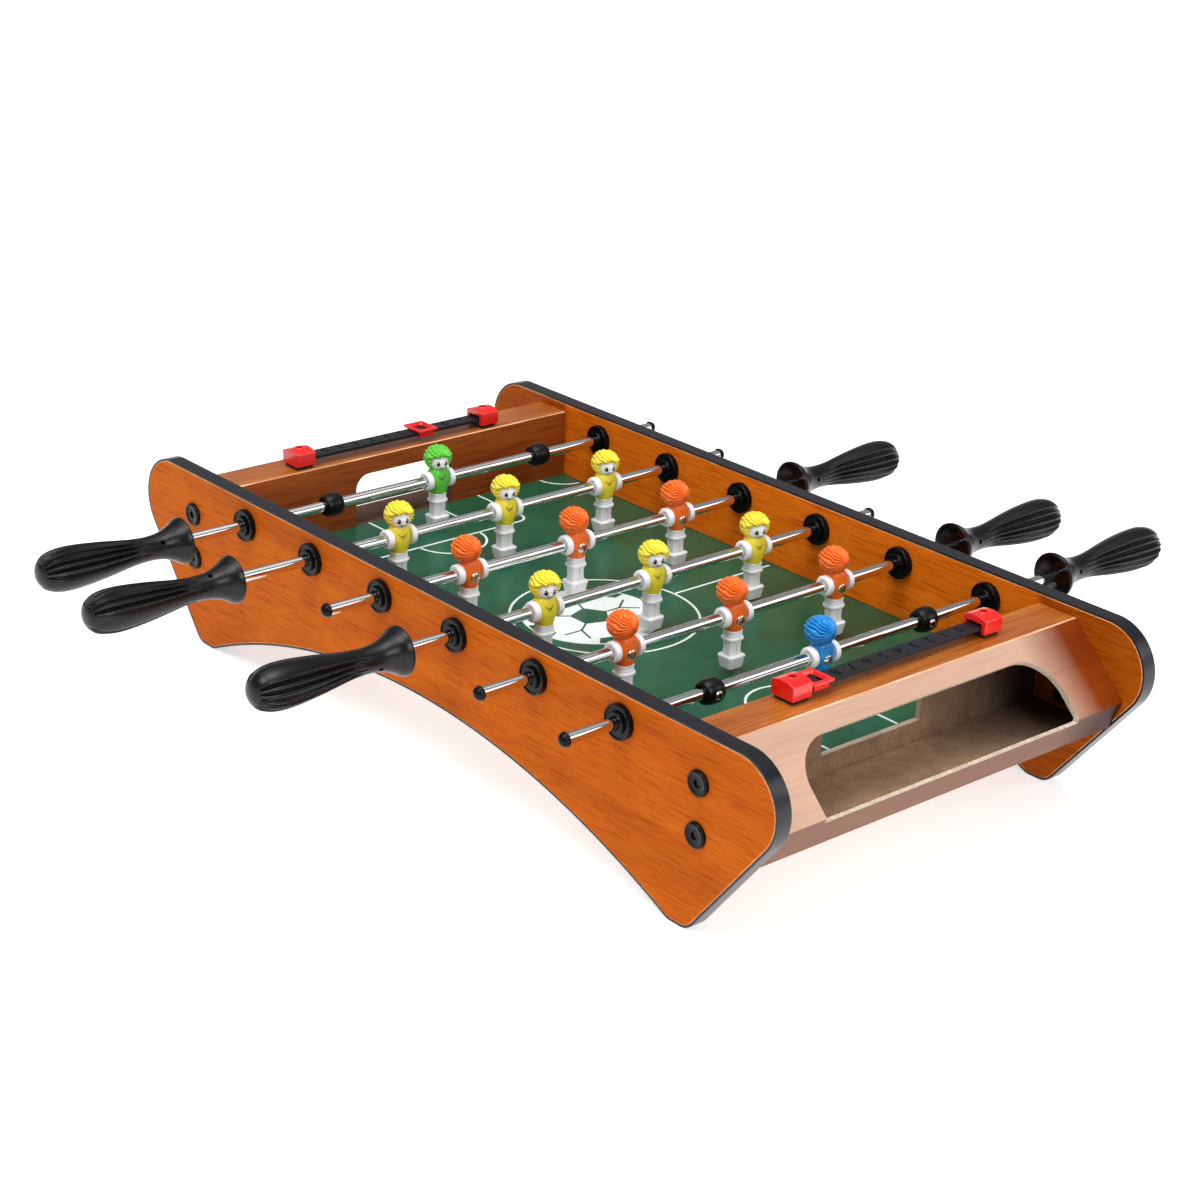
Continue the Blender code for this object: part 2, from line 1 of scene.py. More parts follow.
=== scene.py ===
"""The foosball table's looks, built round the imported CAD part: every piece in its own procedural finish,
a pale floor, soft studio light and the camera."""

import json
import math

import bmesh
import bpy
from mathutils import Matrix, Vector, noise


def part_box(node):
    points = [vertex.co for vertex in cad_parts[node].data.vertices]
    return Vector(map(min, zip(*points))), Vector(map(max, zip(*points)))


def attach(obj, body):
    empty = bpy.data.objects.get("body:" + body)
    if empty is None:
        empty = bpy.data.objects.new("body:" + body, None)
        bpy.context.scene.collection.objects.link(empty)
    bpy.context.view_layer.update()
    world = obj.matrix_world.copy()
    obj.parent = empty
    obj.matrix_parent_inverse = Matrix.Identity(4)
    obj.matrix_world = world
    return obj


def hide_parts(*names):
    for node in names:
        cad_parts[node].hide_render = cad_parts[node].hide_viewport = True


MM = 0.001

# Rods and bushes
ROD_RADIUS = 4 * MM
CAP_RADIUS = 5 * MM
CAP_LENGTH = 5.5 * MM
BUSH_OUTSIDE = (  # (radius, height above the panel's face) in mm, from the bore outwards
    (4.25, 4.9), (4.85, 5.5), (6.9, 5.5), (7.5, 4.9), (7.6, 3.3), (10.1, 3.3),
    (10.5, 4), (11.3, 4), (11.8, 3.5), (11.8, 0), (7, 0),
)

# Side panels: the outline is straight on top, with round shoulders, feet and a wide arch
PANEL_HALF_LENGTH = 341.5 * MM
PANEL_TOP = 134.5 * MM
SHOULDER_RADIUS = 34 * MM
ARCH_TOP = 56.5 * MM
ARCH_RADIUS = 600 * MM
FOOT_RADIUS = 14 * MM
FOOT_FLAT = 8 * MM
PANEL_BORE = 7.6 * MM
BAND = 1.5 * MM
GROOVE_DEPTH = 3 * MM
GAP = 0.3 * MM
BOLTS = ((276 * MM, 101.6 * MM), (276 * MM, 67.2 * MM))  # (x, z), on both ends of each panel
BOLT_CAP = ((0, 2.4), (3, 2.3), (5.2, 1.6), (6, 0.4), (6, 0), (0, 0))  # (radius, height) in mm

# End boxes
BOARD = 4 * MM
FOLD_HIGHLIGHT = 0.7 * MM  # how much of each outside fold takes a painted highlight, as a pale edge
SHELF_END_X = 281.3 * MM
FOLD = (327.3 * MM, 81.7 * MM)
LIP_END = (318.5 * MM, 59.5 * MM)
GOAL_HALF_WIDTH = 46 * MM
GOAL_TOP = 113 * MM
GOAL_CORNER = 12 * MM
RETURN_HALF_WIDTH = 117 * MM
RETURN_TOP = 15 * MM
RETURN_CORNER = 30 * MM
RETURN_INTO_LIP = {"left": 19 * MM, "right": 4 * MM}

# Print on the playing field, about the table's middle
LINE = 1.9 * MM
PRINT_RAISE = 0.12 * MM
FIELD_END = 248.5 * MM
HALF_LINE = 158 * MM
CIRCLE_MIDDLE = (-1 * MM, -7 * MM)
CIRCLE_RADIUS = 68 * MM
PENALTY_LINE_X = 183.5 * MM
PENALTY_SIDES = (-84.5 * MM, 72.5 * MM)
PENALTY_CORNER = 10 * MM
GOAL_AREA_X = 212 * MM
GOAL_AREA_SIDES = (-34.5 * MM, 29.5 * MM)
ARC_MIDDLE_Y = -6 * MM
ARC_RADIUS = 28.5 * MM
CORNER_RADIUS = 24 * MM
FIELD_CORNER = (249 * MM, 160 * MM)
BALL_MIDDLE = (-6 * MM, -16 * MM)
BALL_RADIUS = 50 * MM
SEAM = 1.6 * MM

# Handles: (radius, distance from the bell's rim) in mm; angles round the grip in degrees
HANDLE_OUTSIDE = (
    (0.01, 115), (4.5, 114.4), (9.2, 112), (13, 107.3), (15, 99.5), (15.4, 90), (14.6, 78), (12.8, 63),
    (10.5, 48), (9.2, 38), (8.8, 27), (10, 17), (13, 9), (15.8, 4.5), (16.8, 2), (17, 0.6), (16.4, 0),
)
HANDLE_INSIDE = ((15.6, 0.2), (14.8, 1.5), (13.8, 4), (9, 9), (4.3, 9), (4.3, 60.3), (0.01, 60.3))
FLUTES = [side + turn for side in (0, 180) for turn in (-52, -31, -10, 10, 31, 52)]
FLUTE_WIDTH = 5.8  # degrees
FLUTE_DEPTH = 2.5
HANDLE_ROLL = {1: 50, 2: 80, 3: -5, 4: -20, 5: -5, 6: -5}  # degrees, by rod

# Players, in mm about the rod's axis: the sleeve's (radius, distance from the middle); for the rest the
# (height, half depth, half width) of sections from the top down
SLEEVE = ((6.9, 8), (7.3, 8.8), (7.3, 11.2), (6.9, 12.1), (6.1, 12.6), (5.2, 12.6), (4.3, 12.2), (4.3, 8))
VEST = (
    (10.2, 4.6, 4.8), (8.6, 5.9, 6.6), (6, 7, 7.8), (1, 7.5, 8.6), (-3, 7.3, 8.2), (-7.5, 6.4, 6.8),
    (-10, 5.9, 6.1), (-10.8, 5.4, 5.6),
)
SHORTS = (
    (-10.2, 4.9, 5.2), (-10.8, 5.6, 6.2), (-12, 5.6, 6.3), (-12.4, 5.3, 6), (-15.6, 5.8, 6.5),
    (-16, 6.5, 7.1), (-17.2, 6.6, 7.2), (-17.7, 6.3, 6.9), (-17.9, 4.5, 5.6),
)
SLEEVE_REACH = 13 * MM  # of the CAD player's sleeves from its middle
LEGS = ((-17.4, 4.4, 5.6), (-24, 4.2, 5.4), (-29.5, 4.6, 5.7))
BOOT = (
    (-28.6, 5, 6.2), (-29, 6.8, 7.5), (-29.6, 7.1, 7.8), (-30.6, 6.9, 7.6), (-37.6, 5.7, 6.3),
    (-38, 5.3, 5.9),
)
HEAD_SET = {"green": (0, 0), "yellow": (0, 0), "orange": (-1.2, -2.2), "blue": (-0.6, -1.6)}  # (x, y)
HEAD_MIDDLE = 17.3
HEAD_TURN = -15  # degrees that each head looks to its own right
HAIR_RIDGES = 17

# Score counters: heights above the shelf
RAIL = (12.6 * MM, 188 * MM, 5.2 * MM, 7.9 * MM)  # width, length, bottom, top
RAIL_POST = (12 * MM, 13 * MM)  # width, length
RAIL_PLATE = (16 * MM, 14 * MM)
RAIL_PLATE_TOP = 2.2 * MM
MOUNT_Y = 87.8 * MM
MOUNT_WIDTH = 19.5 * MM
MOUNT_LENGTH = 17 * MM
MOUNT_HEIGHTS = (2.5 * MM, 12.4 * MM, 14.8 * MM)  # bottom, top at the sides, top in the middle
MOUNT_WALL = 3 * MM
MOUNT_BOSS = (4 * MM, 15.2 * MM)  # radius, top
DIGIT_STEP = 14.25 * MM
DIGIT_FIRST_Y = 64.1 * MM
DIGIT_HEIGHT = 8 * MM

# Camera and studio
CAMERA_AT = (1.2247082, -1.1000815, 0.7612637)
CAMERA_RIGHT = (0.65189039, 0.75741444, 0.03690904)
CAMERA_UP = (-0.3111668, 0.22279407, 0.92387122)
CAMERA_BACK = (0.69153029, -0.61374764, 0.38091954)
LENS = 75.055
FLOOR_SIZE = 28
SKY = ((0.15, 1.25), (0.18, 0.12), (0.3, 0.32), (0.76, 0.34), (0.9, 1.8))  # (height, brightness)
LIGHTS = (  # name, place, size, power
    ("key_light", (0.2, -1.7, 2.6), 1.5, 34),
    ("fill_light", (2.3, -0.5, 1.6), 1.2, 22),
    ("side_light", (1.75, 1.55, 1.15), 1.1, 7),
    ("top_light", (0.2, -0.1, 2.4), 1, 14),
)


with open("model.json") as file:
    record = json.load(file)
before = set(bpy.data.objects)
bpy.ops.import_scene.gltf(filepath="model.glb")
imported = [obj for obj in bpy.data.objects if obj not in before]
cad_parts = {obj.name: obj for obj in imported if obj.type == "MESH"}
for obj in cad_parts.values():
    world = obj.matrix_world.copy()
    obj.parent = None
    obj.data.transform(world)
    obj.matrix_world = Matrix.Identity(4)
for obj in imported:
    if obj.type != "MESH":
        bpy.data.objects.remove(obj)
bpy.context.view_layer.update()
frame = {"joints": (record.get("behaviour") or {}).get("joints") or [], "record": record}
scene = bpy.context.scene
scene.view_settings.view_transform = "Standard"
JOINTS = {joint["name"]: joint for joint in frame["joints"]}
ROD_AT = {number: JOINTS[f"rod_{number}_spin"]["pos_m"] for number in range(1, 7)}


# Finishes

WHITE = (1, 1, 1, 1)

def srgb(red, green, blue):
    """A linear colour from its display values of 0 to 255."""
    parts = []
    for part in (red, green, blue):
        share = part / 255
        parts.append(share / 12.92 if share <= 0.04045 else ((share + 0.055) / 1.055) ** 2.4)
    return (*parts, 1)


class Nodes:
    """The shader nodes of a material or a world; place is where the shaded point lies."""

    def __init__(self, owner, place):
        owner.use_nodes = True
        self.tree = owner.node_tree
        self.place = self.node("ShaderNodeTexCoord").outputs[place]

    def node(self, kind, settings=None, **inputs):
        made = self.tree.nodes.new(kind)
        for name, value in (settings or {}).items():
            setattr(made, name, value)
        for name, value in inputs.items():
            self.feed(made.inputs[name], value)
        return made

    def feed(self, socket, value):
        if isinstance(value, bpy.types.NodeSocket):
            self.tree.links.new(value, socket)
        else:
            socket.default_value = value

    def split(self, axis):
        """The place along one of the object's axes."""
        return self.node("ShaderNodeSeparateXYZ", Vector=self.place).outputs[axis]

    def ramp(self, factor, *stops):
        """A colour for each (position, colour) stop, by the factor."""
        made = self.node("ShaderNodeValToRGB", Fac=factor)
        elements = made.color_ramp.elements
        while len(elements) < len(stops):
            elements.new(0.5)
        for element, (position, colour) in zip(elements, stops):
            element.position = position
            element.color = colour
        return made.outputs["Color"]


class Finish(Nodes):
    """A material: a Principled shader and the procedural nodes that feed it."""

    def __init__(self, name, **sockets):
        self.material = bpy.data.materials.new(name)
        super().__init__(self.material, "Object")
        self.shader = self.tree.nodes["Principled BSDF"]
        for socket, value in sockets.items():
            self.shader.inputs[socket.replace("_", " ")].default_value = value

    def noise(self, stretch, detail=3, distortion=0.0, offset=0.0):
        """Noise with so many features per metre along each axis."""
        mapped = self.node("ShaderNodeMapping", Vector=self.place, Scale=stretch, Location=[offset] * 3)
        inputs = {"Vector": mapped.outputs[0], "Scale": 1, "Detail": detail, "Distortion": distortion}
        made = self.node("ShaderNodeTexNoise", **inputs)
        return made.outputs[0]

    def levels(self, factor, low, high, from_low=0.3, from_high=0.7):
        """The factor's middle range spread from low to high."""
        ends = {"From Min": from_low, "From Max": from_high, "To Min": low, "To Max": high}
        return self.node("ShaderNodeMapRange", Value=factor, **ends).outputs[0]

    def mixed(self, factor, first, second, blend="MIX"):
        made = self.node("ShaderNodeMix", {"data_type": "RGBA", "blend_type": blend})
        for number, value in ((0, factor), (6, first), (7, second)):
            self.feed(made.inputs[number], value)
        return made.outputs[2]

    def times(self, first, second, factor=1.0):
        return self.mixed(factor, first, second, "MULTIPLY")

    def coloured(self, colour):
        self.feed(self.shader.inputs["Base Color"], colour)
        return self

    def rough(self, roughness):
        self.feed(self.shader.inputs["Roughness"], roughness)
        return self

    def bumpy(self, height, distance):
        made = self.node("ShaderNodeBump", Height=height, Distance=distance)
        self.feed(self.shader.inputs["Normal"], made.outputs[0])
        return self


def plastic(name, colour, roughness, grain=900, relief=0.006 * MM, coat=0.0, gloss=0.5):
    """Moulded plastic: a slightly uneven colour and gloss over a fine skin."""
    colour = srgb(*colour)
    made = Finish(name, Coat_Weight=coat, Coat_Roughness=0.06, Specular_IOR_Level=gloss)
    cloudy = made.noise((60, 60, 60), 2)
    fine = made.noise((grain, grain, grain), 2)
    dark = [part * 0.94 for part in colour[:3]] + [1]
    made.coloured(made.ramp(cloudy, (0.3, dark), (0.6, colour)))
    made.rough(made.levels(fine, roughness - 0.02, roughness + 0.03))
    return made.bumpy(fine, relief).material


def wood(name, tones, roughness, along=(3, 26, 26), fine=(24, 430, 430), gloss=0.3, pore=0.72, ends=1.0):
    """Printed wood film from its (light, middle, dark) tones: broad soft bands and short dark pores along
    the grain. pore is how bright the pores are; ends is painted shade, how bright the film stays past the
    playing field."""
    light, mid, dark = (srgb(*tone) for tone in tones)
    made = Finish(name, Specular_IOR_Level=gloss)
    bands = made.noise(along, 4, 0.9)
    pores = made.noise(fine, 3, 0.3, 3.1)
    hairs = made.noise([part * 2.6 for part in fine], 2, 0.2, 7.7)
    broad = made.ramp(bands, (0.28, dark), (0.5, mid), (0.72, light))
    streaks = made.ramp(pores, (0.36, (pore, pore * 0.8, pore * 0.62, 1)), (0.5, WHITE))
    lines = made.ramp(hairs, (0.34, (0.84, 0.76, 0.68, 1)), (0.55, WHITE))
    grained = made.times(made.times(broad, streaks), lines, 0.8)
    # Painted shade where the film runs on past the playing field.
    if ends < 1:
        reach = made.node("ShaderNodeMath", {"operation": "ABSOLUTE"})
        made.feed(reach.inputs[0], made.split("X"))
        past = made.levels(reach.outputs[0], 1.0, ends, FIELD_END - 4 * MM, FIELD_END + 4 * MM)
        grained = made.times(grained, past)
    made.coloured(grained)
    made.rough(made.levels(bands, roughness - 0.04, roughness + 0.07))
    return made.bumpy(pores, 0.01 * MM).material


def fibreboard(name, light, dark, side_shade=1.0):
    """Bare fibreboard: fine felted fibres; its last argument is painted shade, how bright it stays at one
    side panel.
    """
    made = Finish(name)
    patches = made.noise((90, 90, 90), 4, 0.4)
    fibres = made.noise((1300, 700, 1300), 4, 0.8)
    base = made.ramp(patches, (0.3, srgb(*dark)), (0.7, srgb(*light)))
    fleck = made.ramp(fibres, (0.35, (0.6, 0.56, 0.52, 1)), (0.65, (1.12, 1.1, 1.08, 1)))
    felted = made.times(base, fleck)
    # Painted shade: darker towards one side panel.
    if side_shade < 1:
        shade = made.levels(made.split("Y"), 1.0, side_shade, 40 * MM, 150 * MM)
        felted = made.times(felted, shade)
    made.coloured(felted).rough(0.9)
    return made.bumpy(fibres, 0.12 * MM).material


def deepening_film(name, pale, deep):
    """Pale wood film with its grain along Y, which deepens to brown towards one side panel: a painted
    reflection and shade of that panel. Both tones are (low, high) pairs."""
    made = Finish(name, Specular_IOR_Level=0.1)
    bands = made.noise((30, 2.5, 30), 3, 0.6)
    pores = made.noise((420, 24, 420), 3, 0.2, 2.3)
    paler, reflected = (
        made.ramp(bands, (0.3, srgb(*low)), (0.7, srgb(*high))) for low, high in (pale, deep)
    )
    # How far the painted reflection and shade of the side panel has taken over, along Y.
    share = made.levels(made.split("Y"), 0.0, 1.0, 100 * MM, 142 * MM)
    streaks = made.ramp(pores, (0.36, (0.93, 0.89, 0.86, 1)), (0.52, WHITE))
    made.coloured(made.times(made.mixed(share, paler, reflected), streaks, 0.7))
    made.rough(made.levels(bands, 0.4, 0.48))
    return made.bumpy(pores, 0.01 * MM).material


def printed_green():
    """Glossy printed board: an even green with faint clouds in it."""
    made = Finish("printed_green", Specular_IOR_Level=0.4)
    clouds = made.noise((14, 14, 14), 3, 0.3)
    fine = made.noise((600, 600, 600), 2)
    made.coloured(made.ramp(clouds, (0.3, srgb(16, 76, 50)), (0.7, srgb(26, 96, 68))))
    made.rough(made.levels(clouds, 0.24, 0.3))
    return made.bumpy(fine, 0.004 * MM).material


def printed_white():
    made = Finish("printed_white", Specular_IOR_Level=0.4)
    fine = made.noise((500, 500, 500), 3)
    made.coloured(made.ramp(fine, (0.3, srgb(222, 232, 230)), (0.6, srgb(238, 244, 243))))
    return made.rough(made.levels(fine, 0.28, 0.36)).material


def steel(name, colour, roughness, along=(500, 500, 12)):
    """Polished steel with a trace of drawing lines."""
    colour = srgb(*colour)
    made = Finish(name, Metallic=1.0)
    lines = made.noise(along, 3)
    dark = [part * 0.9 for part in colour[:3]] + [1]
    made.coloured(made.ramp(lines, (0.3, dark), (0.6, colour)))
    return made.rough(made.levels(lines, roughness, roughness + 0.04)).material


BOX_FILM = {"along": (26, 3, 26), "fine": (430, 24, 430)}  # its grain runs along Y

LAMINATE = {"roughness": 0.42, "fine": (36, 800, 800), "gloss": 0.03, "pore": 0.78}

LOOKS = {
    "laminate": wood("panel_laminate", ((198, 102, 20), (188, 92, 14), (172, 80, 9)), **LAMINATE),
    # Lighter copy of the laminate for the inner faces: painted light, with painted shade past the field.
    "laminate_lit_inside": wood(
        "panel_laminate_lit_inside", ((250, 132, 30), (240, 121, 23), (224, 108, 17)), ends=0.42, **LAMINATE
    ),
    # Painted highlight: a pale line along the panels' eased edges.
    "edge_highlight": wood("edge_highlight", ((246, 190, 140), (238, 172, 118), (220, 150, 100)), 0.5),
    "band": plastic("edge_band", (22, 23, 31), 0.24, 700, gloss=0.4),
    # The end boxes' films are copies of one film: goal wall and lip painted shade, slope painted light.
    "goal_film_painted_shade": wood("goal_film_painted_shade", ((176, 92, 34), (154, 76, 26), (124, 56, 16)), 0.36, **BOX_FILM),
    "shelf_film": wood(
        "shelf_film", ((196, 122, 52), (174, 98, 34), (142, 70, 18)), 0.3, gloss=0.5, pore=0.8, **BOX_FILM
    ),
    # Slope and lip deepen to brown towards one side panel: painted reflection and shade of that panel.
    "slope_film_painted_light": deepening_film(
        "slope_film_painted_light", ((188, 152, 131), (200, 164, 143)), ((108, 42, 6), (136, 60, 12))
    ),
    "lip_film_painted_shade": deepening_film("lip_film_painted_shade", ((118, 84, 69), (134, 98, 82)), ((54, 14, 3), (76, 24, 6))),
    # Painted highlight along the end boxes' outside folds.
    "highlighted_film": wood("highlighted_film", ((246, 206, 172), (238, 190, 150), (226, 172, 130)), 0.5, **BOX_FILM),
    # Bare board, with painted shade darkening it towards one side panel.
    "raw_board": fibreboard("raw_board", (180, 148, 120), (156, 126, 99), side_shade=0.16),
    # Darker copy of the bare board: painted shade inside the left end box.
    "painted_shade_board": fibreboard("painted_shade_board", (106, 78, 60), (86, 62, 47)),
    "sawn_edge": fibreboard("sawn_edge", (214, 200, 186), (192, 174, 156)),
    "green_print": printed_green(),
    "white_print": printed_white(),
    "steel": steel("rod_steel", (236, 235, 236), 0.07),
    "screw_steel": steel("screw_steel", (226, 224, 220), 0.13, (400, 400, 400)),
    "black": plastic("black_plastic", (9, 9, 11), 0.26, 800, gloss=0.16),
    "grip": plastic("grip_plastic", (8, 8, 10), 0.27, 1200, 0.008 * MM, gloss=0.32),
    "rubber": plastic("black_rubber", (9, 9, 11), 0.3, 1000, 0.008 * MM, gloss=0.25),
    "rail": plastic("rail_plastic", (24, 24, 30), 0.42, 900, 0.01 * MM, gloss=0.3),
    "red": plastic("red_plastic", (232, 26, 20), 0.2, 500, 0.003 * MM, 0.5),
    "white": plastic("white_plastic", (247, 247, 250), 0.34, 700),
    # Also painted shade in the screws' cross recesses.
    "eye": plastic("black_print_and_recess_shade", (12, 10, 10), 0.16, 500, 0.002 * MM),
    "green": plastic("green_plastic", (98, 208, 62), 0.34, 500),
    "yellow": plastic("yellow_plastic", (246, 226, 58), 0.34, 500),
    "orange": plastic("orange_plastic", (250, 112, 24), 0.34, 500),
    "blue": plastic("blue_plastic", (16, 138, 216), 0.32, 500),
    "mark": plastic("vest_mark", (78, 56, 12), 0.4, 500),
}


# Shapes


def at(x, y, z):
    return Matrix.Translation((x, y, z))


def rotation(degrees, axis):
    return Matrix.Rotation(math.radians(degrees), 4, axis)


ALONG_Y = rotation(-90, "X")  # turns local +Z to +Y
UPRIGHT = rotation(90, "X")  # stands an XY outline up in the XZ plane
ACROSS_X = Matrix(((0, 0, 1, 0), (1, 0, 0, 0), (0, 1, 0, 0), (0, 0, 0, 1)))  # XY outline to the YZ plane
HALF_TURN = rotation(180, "Z")


def in_mm(points):
    """The points in metres, from millimetres."""
    return [tuple(part * MM for part in point) for point in points]


def heading(degrees):
    """A unit step in the XY plane."""
    return Vector((math.cos(math.radians(degrees)), math.sin(math.radians(degrees))))


def arc(centre, radius, start, end, steps):
    """Points along an arc with both its ends; angles in degrees."""
    angles = [math.radians(start + (end - start) * i / steps) for i in range(steps + 1)]
    return [(centre[0] + radius * math.cos(a), centre[1] + radius * math.sin(a)) for a in angles]


def eased(points, radius, steps=3, closed=True):
    """The path with each corner rounded, by up to the radius from it."""
    count = len(points)
    path = []
    for i, point in enumerate(points):
        here = Vector(point)
        if not closed and i in (0, count - 1):
            path.append(tuple(here))
            continue
        before = Vector(points[i - 1]) - here
        after = Vector(points[(i + 1) % count]) - here
        reach = min(radius, before.length / 2.01, after.length / 2.01)
        start = here + before.normalized() * reach
        end = here + after.normalized() * reach
        for step in range(steps + 1):
            t = step / steps
            path.append(tuple(start.lerp(here, t).lerp(here.lerp(end, t), t)))
    return path


def flowing(points, steps=4):
    """A smooth path through the points."""
    path = []
    last = len(points) - 1
    for i in range(last):
        a, b, c, d = (Vector(points[max(0, min(last, i + k))]) for k in (-1, 0, 1, 2))
        bend = 2 * a - 5 * b + 4 * c - d
        twist = 3 * b - a - 3 * c + d
        for step in range(steps):
            t = step / steps
            path.append(tuple((2 * b + (c - a) * t + bend * t**2 + twist * t**3) / 2))
    path.append(tuple(points[-1]))
    return path


def shaded(mesh, angle=32):
    mesh.shade_smooth()
    mesh.set_sharp_from_angle(angle=math.radians(angle))
    return mesh


def closed_mesh(form):
    """A mesh from the bmesh, welded and facing out."""
    bmesh.ops.remove_doubles(form, verts=form.verts, dist=0.0005 * MM)
    bmesh.ops.recalc_face_normals(form, faces=form.faces)
    mesh = bpy.data.meshes.new("shape")
    form.to_mesh(mesh)
    form.free()
    return shaded(mesh)


def placed(name, data):
    """A new object in the scene."""
    thing = bpy.data.objects.new(name, data)
    scene.collection.objects.link(thing)
    return thing


def evaluated(thing):
    """The object's mesh with its modifiers applied; the object itself is removed."""
    bpy.context.view_layer.update()
    seen = thing.evaluated_get(bpy.context.evaluated_depsgraph_get())
    mesh = bpy.data.meshes.new_from_object(seen)
    bpy.data.objects.remove(thing, do_unlink=True)
    return mesh


def drawn(curve, points, closed=False):
    """Adds a line through the points to the curve."""
    spline = curve.splines.new("POLY")
    spline.points.add(len(points) - 1)
    for point, place in zip(spline.points, points):
        point.co = (*place, 1)
    spline.use_cyclic_u = closed


def filled(curve):
    """The curve's solid as a mesh."""
    form = bmesh.new()
    form.from_mesh(evaluated(placed("curve", curve)))
    return closed_mesh(form)


def slab(outlines, thickness, edge=0.0):
    """A slab in the XY plane with eased edges; the outlines inside the first are its holes."""
    curve = bpy.data.curves.new("outline", "CURVE")
    curve.dimensions = "2D"
    curve.fill_mode = "BOTH"
    curve.extrude = thickness / 2 - edge
    curve.bevel_depth = edge
    curve.bevel_resolution = 1
    curve.offset = -edge
    for number, outline in enumerate(outlines):
        area = sum(a[0] * b[1] - b[0] * a[1] for a, b in zip(outline, outline[1:] + outline[:1]))
        if (area > 0) == (number > 0):
            outline = outline[::-1]
        drawn(curve, [(x, y, 0) for x, y in outline], True)
    return filled(curve)


def block(width, depth, low, high, middle=(0, 0), edge=0.0):
    """A box by its size along X and Y and its lowest and highest Z, with eased edges."""
    form = bmesh.new()
    bmesh.ops.create_cube(form, size=1)
    bmesh.ops.scale(form, verts=form.verts, vec=(width, depth, high - low))
    bmesh.ops.translate(form, verts=form.verts, vec=(*middle, (low + high) / 2))
    if edge:
        bmesh.ops.bevel(form, geom=form.edges[:], offset=edge, segments=3, profile=0.5, affect="EDGES")
    return closed_mesh(form)


def skinned(form, rings, closed=False):
    """Faces between each ring of vertices and the next; closed joins the last ring to the first."""
    for upper, lower in zip(rings, rings[1:] + (rings[:1] if closed else [])):
        for i in range(len(upper)):
            j = (i + 1) % len(upper)
            corners = []
            for vert in (upper[i], lower[i], lower[j], upper[j]):
                if vert not in corners:
                    corners.append(vert)
            if len(corners) > 2:
                form.faces.new(corners)
    return closed_mesh(form)


def turned(profile, steps=48, closed=False, shape=None):
    """A body turned about Z from (radius, height) points; shape changes the radius round the turn."""
    form = bmesh.new()
    rings = []
    for radius, height in profile:
        if radius < 0.011 * MM:
            rings.append([form.verts.new((0, 0, height))] * steps)
            continue
        ring = []
        for i in range(steps):
            angle = math.tau * i / steps
            reach = shape(radius, height, angle) if shape else radius
            ring.append(form.verts.new((reach * math.cos(angle), reach * math.sin(angle), height)))
        rings.append(ring)
    return skinned(form, rings, closed)


def lofted(sections, power, steps=40):
    """A body through rounded (height, half depth, half width) sections in mm, from the top down."""
    form = bmesh.new()
    rings = []
    for height, half_x, half_y in sections:
        ring = []
        for i in range(steps):
            angle = math.tau * (i + 0.5) / steps
            c, s = math.cos(angle), math.sin(angle)
            x = half_x * math.copysign(abs(c) ** (2 / power), c)
            y = half_y * math.copysign(abs(s) ** (2 / power), s)
            ring.append(form.verts.new((x * MM, y * MM, height * MM)))
        rings.append(ring)
    form.faces.new(rings[0])
    form.faces.new(rings[-1])
    return skinned(form, rings)


def ellipsoid(radii, middle, across=28, along=18):
    """An egg shape in mm."""
    profile = arc((0, 0), 1, 90, -90, along)
    mesh = turned([(max(r, 0), z) for r, z in profile], across)
    mesh.transform(Matrix.Translation(Vector(middle) * MM) @ Matrix.Diagonal((*(Vector(radii) * MM), 1)))
    return mesh


def tube(points, radius):
    """A thin round line through the points, in mm."""
    curve = bpy.data.curves.new("line", "CURVE")
    curve.dimensions = "3D"
    curve.bevel_depth = radius * MM
    curve.bevel_resolution = 2
    curve.use_fill_caps = True
    drawn(curve, [Vector(point) * MM for point in points])
    return filled(curve)


def moved(mesh, matrix):
    copy = mesh.copy()
    copy.transform(matrix)
    return copy


def painted(mesh, look, others=None):
    """Gives the mesh its look; others maps a look to a test on a face for the faces that take it."""
    mesh.materials.clear()
    mesh.materials.append(LOOKS[look])
    for index, (other, test) in enumerate((others or {}).items(), start=1):
        mesh.materials.append(LOOKS[other])
        for face in mesh.polygons:
            if test(face):
                face.material_index = index
    return mesh


def joined(*parts):
    """One mesh from painted meshes, each a closed body of its own."""
    looks = []
    form = bmesh.new()
    for part in parts:
        numbers = []
        for look in part.materials:
            if look not in looks:
                looks.append(look)
            numbers.append(looks.index(look))
        before = len(form.faces)
        form.from_mesh(part)
        form.faces.ensure_lookup_table()
        for face in form.faces[before:]:
            face.material_index = numbers[face.material_index]
    mesh = bpy.data.meshes.new("joined")
    form.to_mesh(mesh)
    form.free()
    for look in looks:
        mesh.materials.append(look)
    return mesh


def combined(mesh, steps, angle=32):
    """The mesh after each (operation, other mesh) Boolean in turn; cut faces take the other's look."""
    thing = placed("combined", mesh)
    others = []
    for operation, other_mesh in steps:
        other = placed("cutter", other_mesh)
        boolean = thing.modifiers.new("boolean", "BOOLEAN")
        boolean.operation = operation
        boolean.solver = "EXACT"
        boolean.material_mode = "TRANSFER"
        boolean.object = other
        others.append(other)
    result = evaluated(thing)
    for other in others:
        bpy.data.objects.remove(other, do_unlink=True)
    return shaded(result, angle)


def cut(look, *meshes):
    """Steps for combined that cut the meshes away."""
    return [("DIFFERENCE", painted(mesh, look)) for mesh in meshes]


def show(name, mesh, body, nodes=(), matrix=Matrix()):
    """Puts a finished mesh into the scene as one named piece."""
    thing = placed(name, mesh)
    thing.matrix_world = matrix
    weighted = thing.modifiers.new("even_shading", "WEIGHTED_NORMAL")
    weighted.keep_sharp = True
    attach(thing, body)
    if nodes:
        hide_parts(*nodes)
    return thing


def middle_of(node):
    low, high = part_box(node)
    return (low + high) / 2


# Fixings


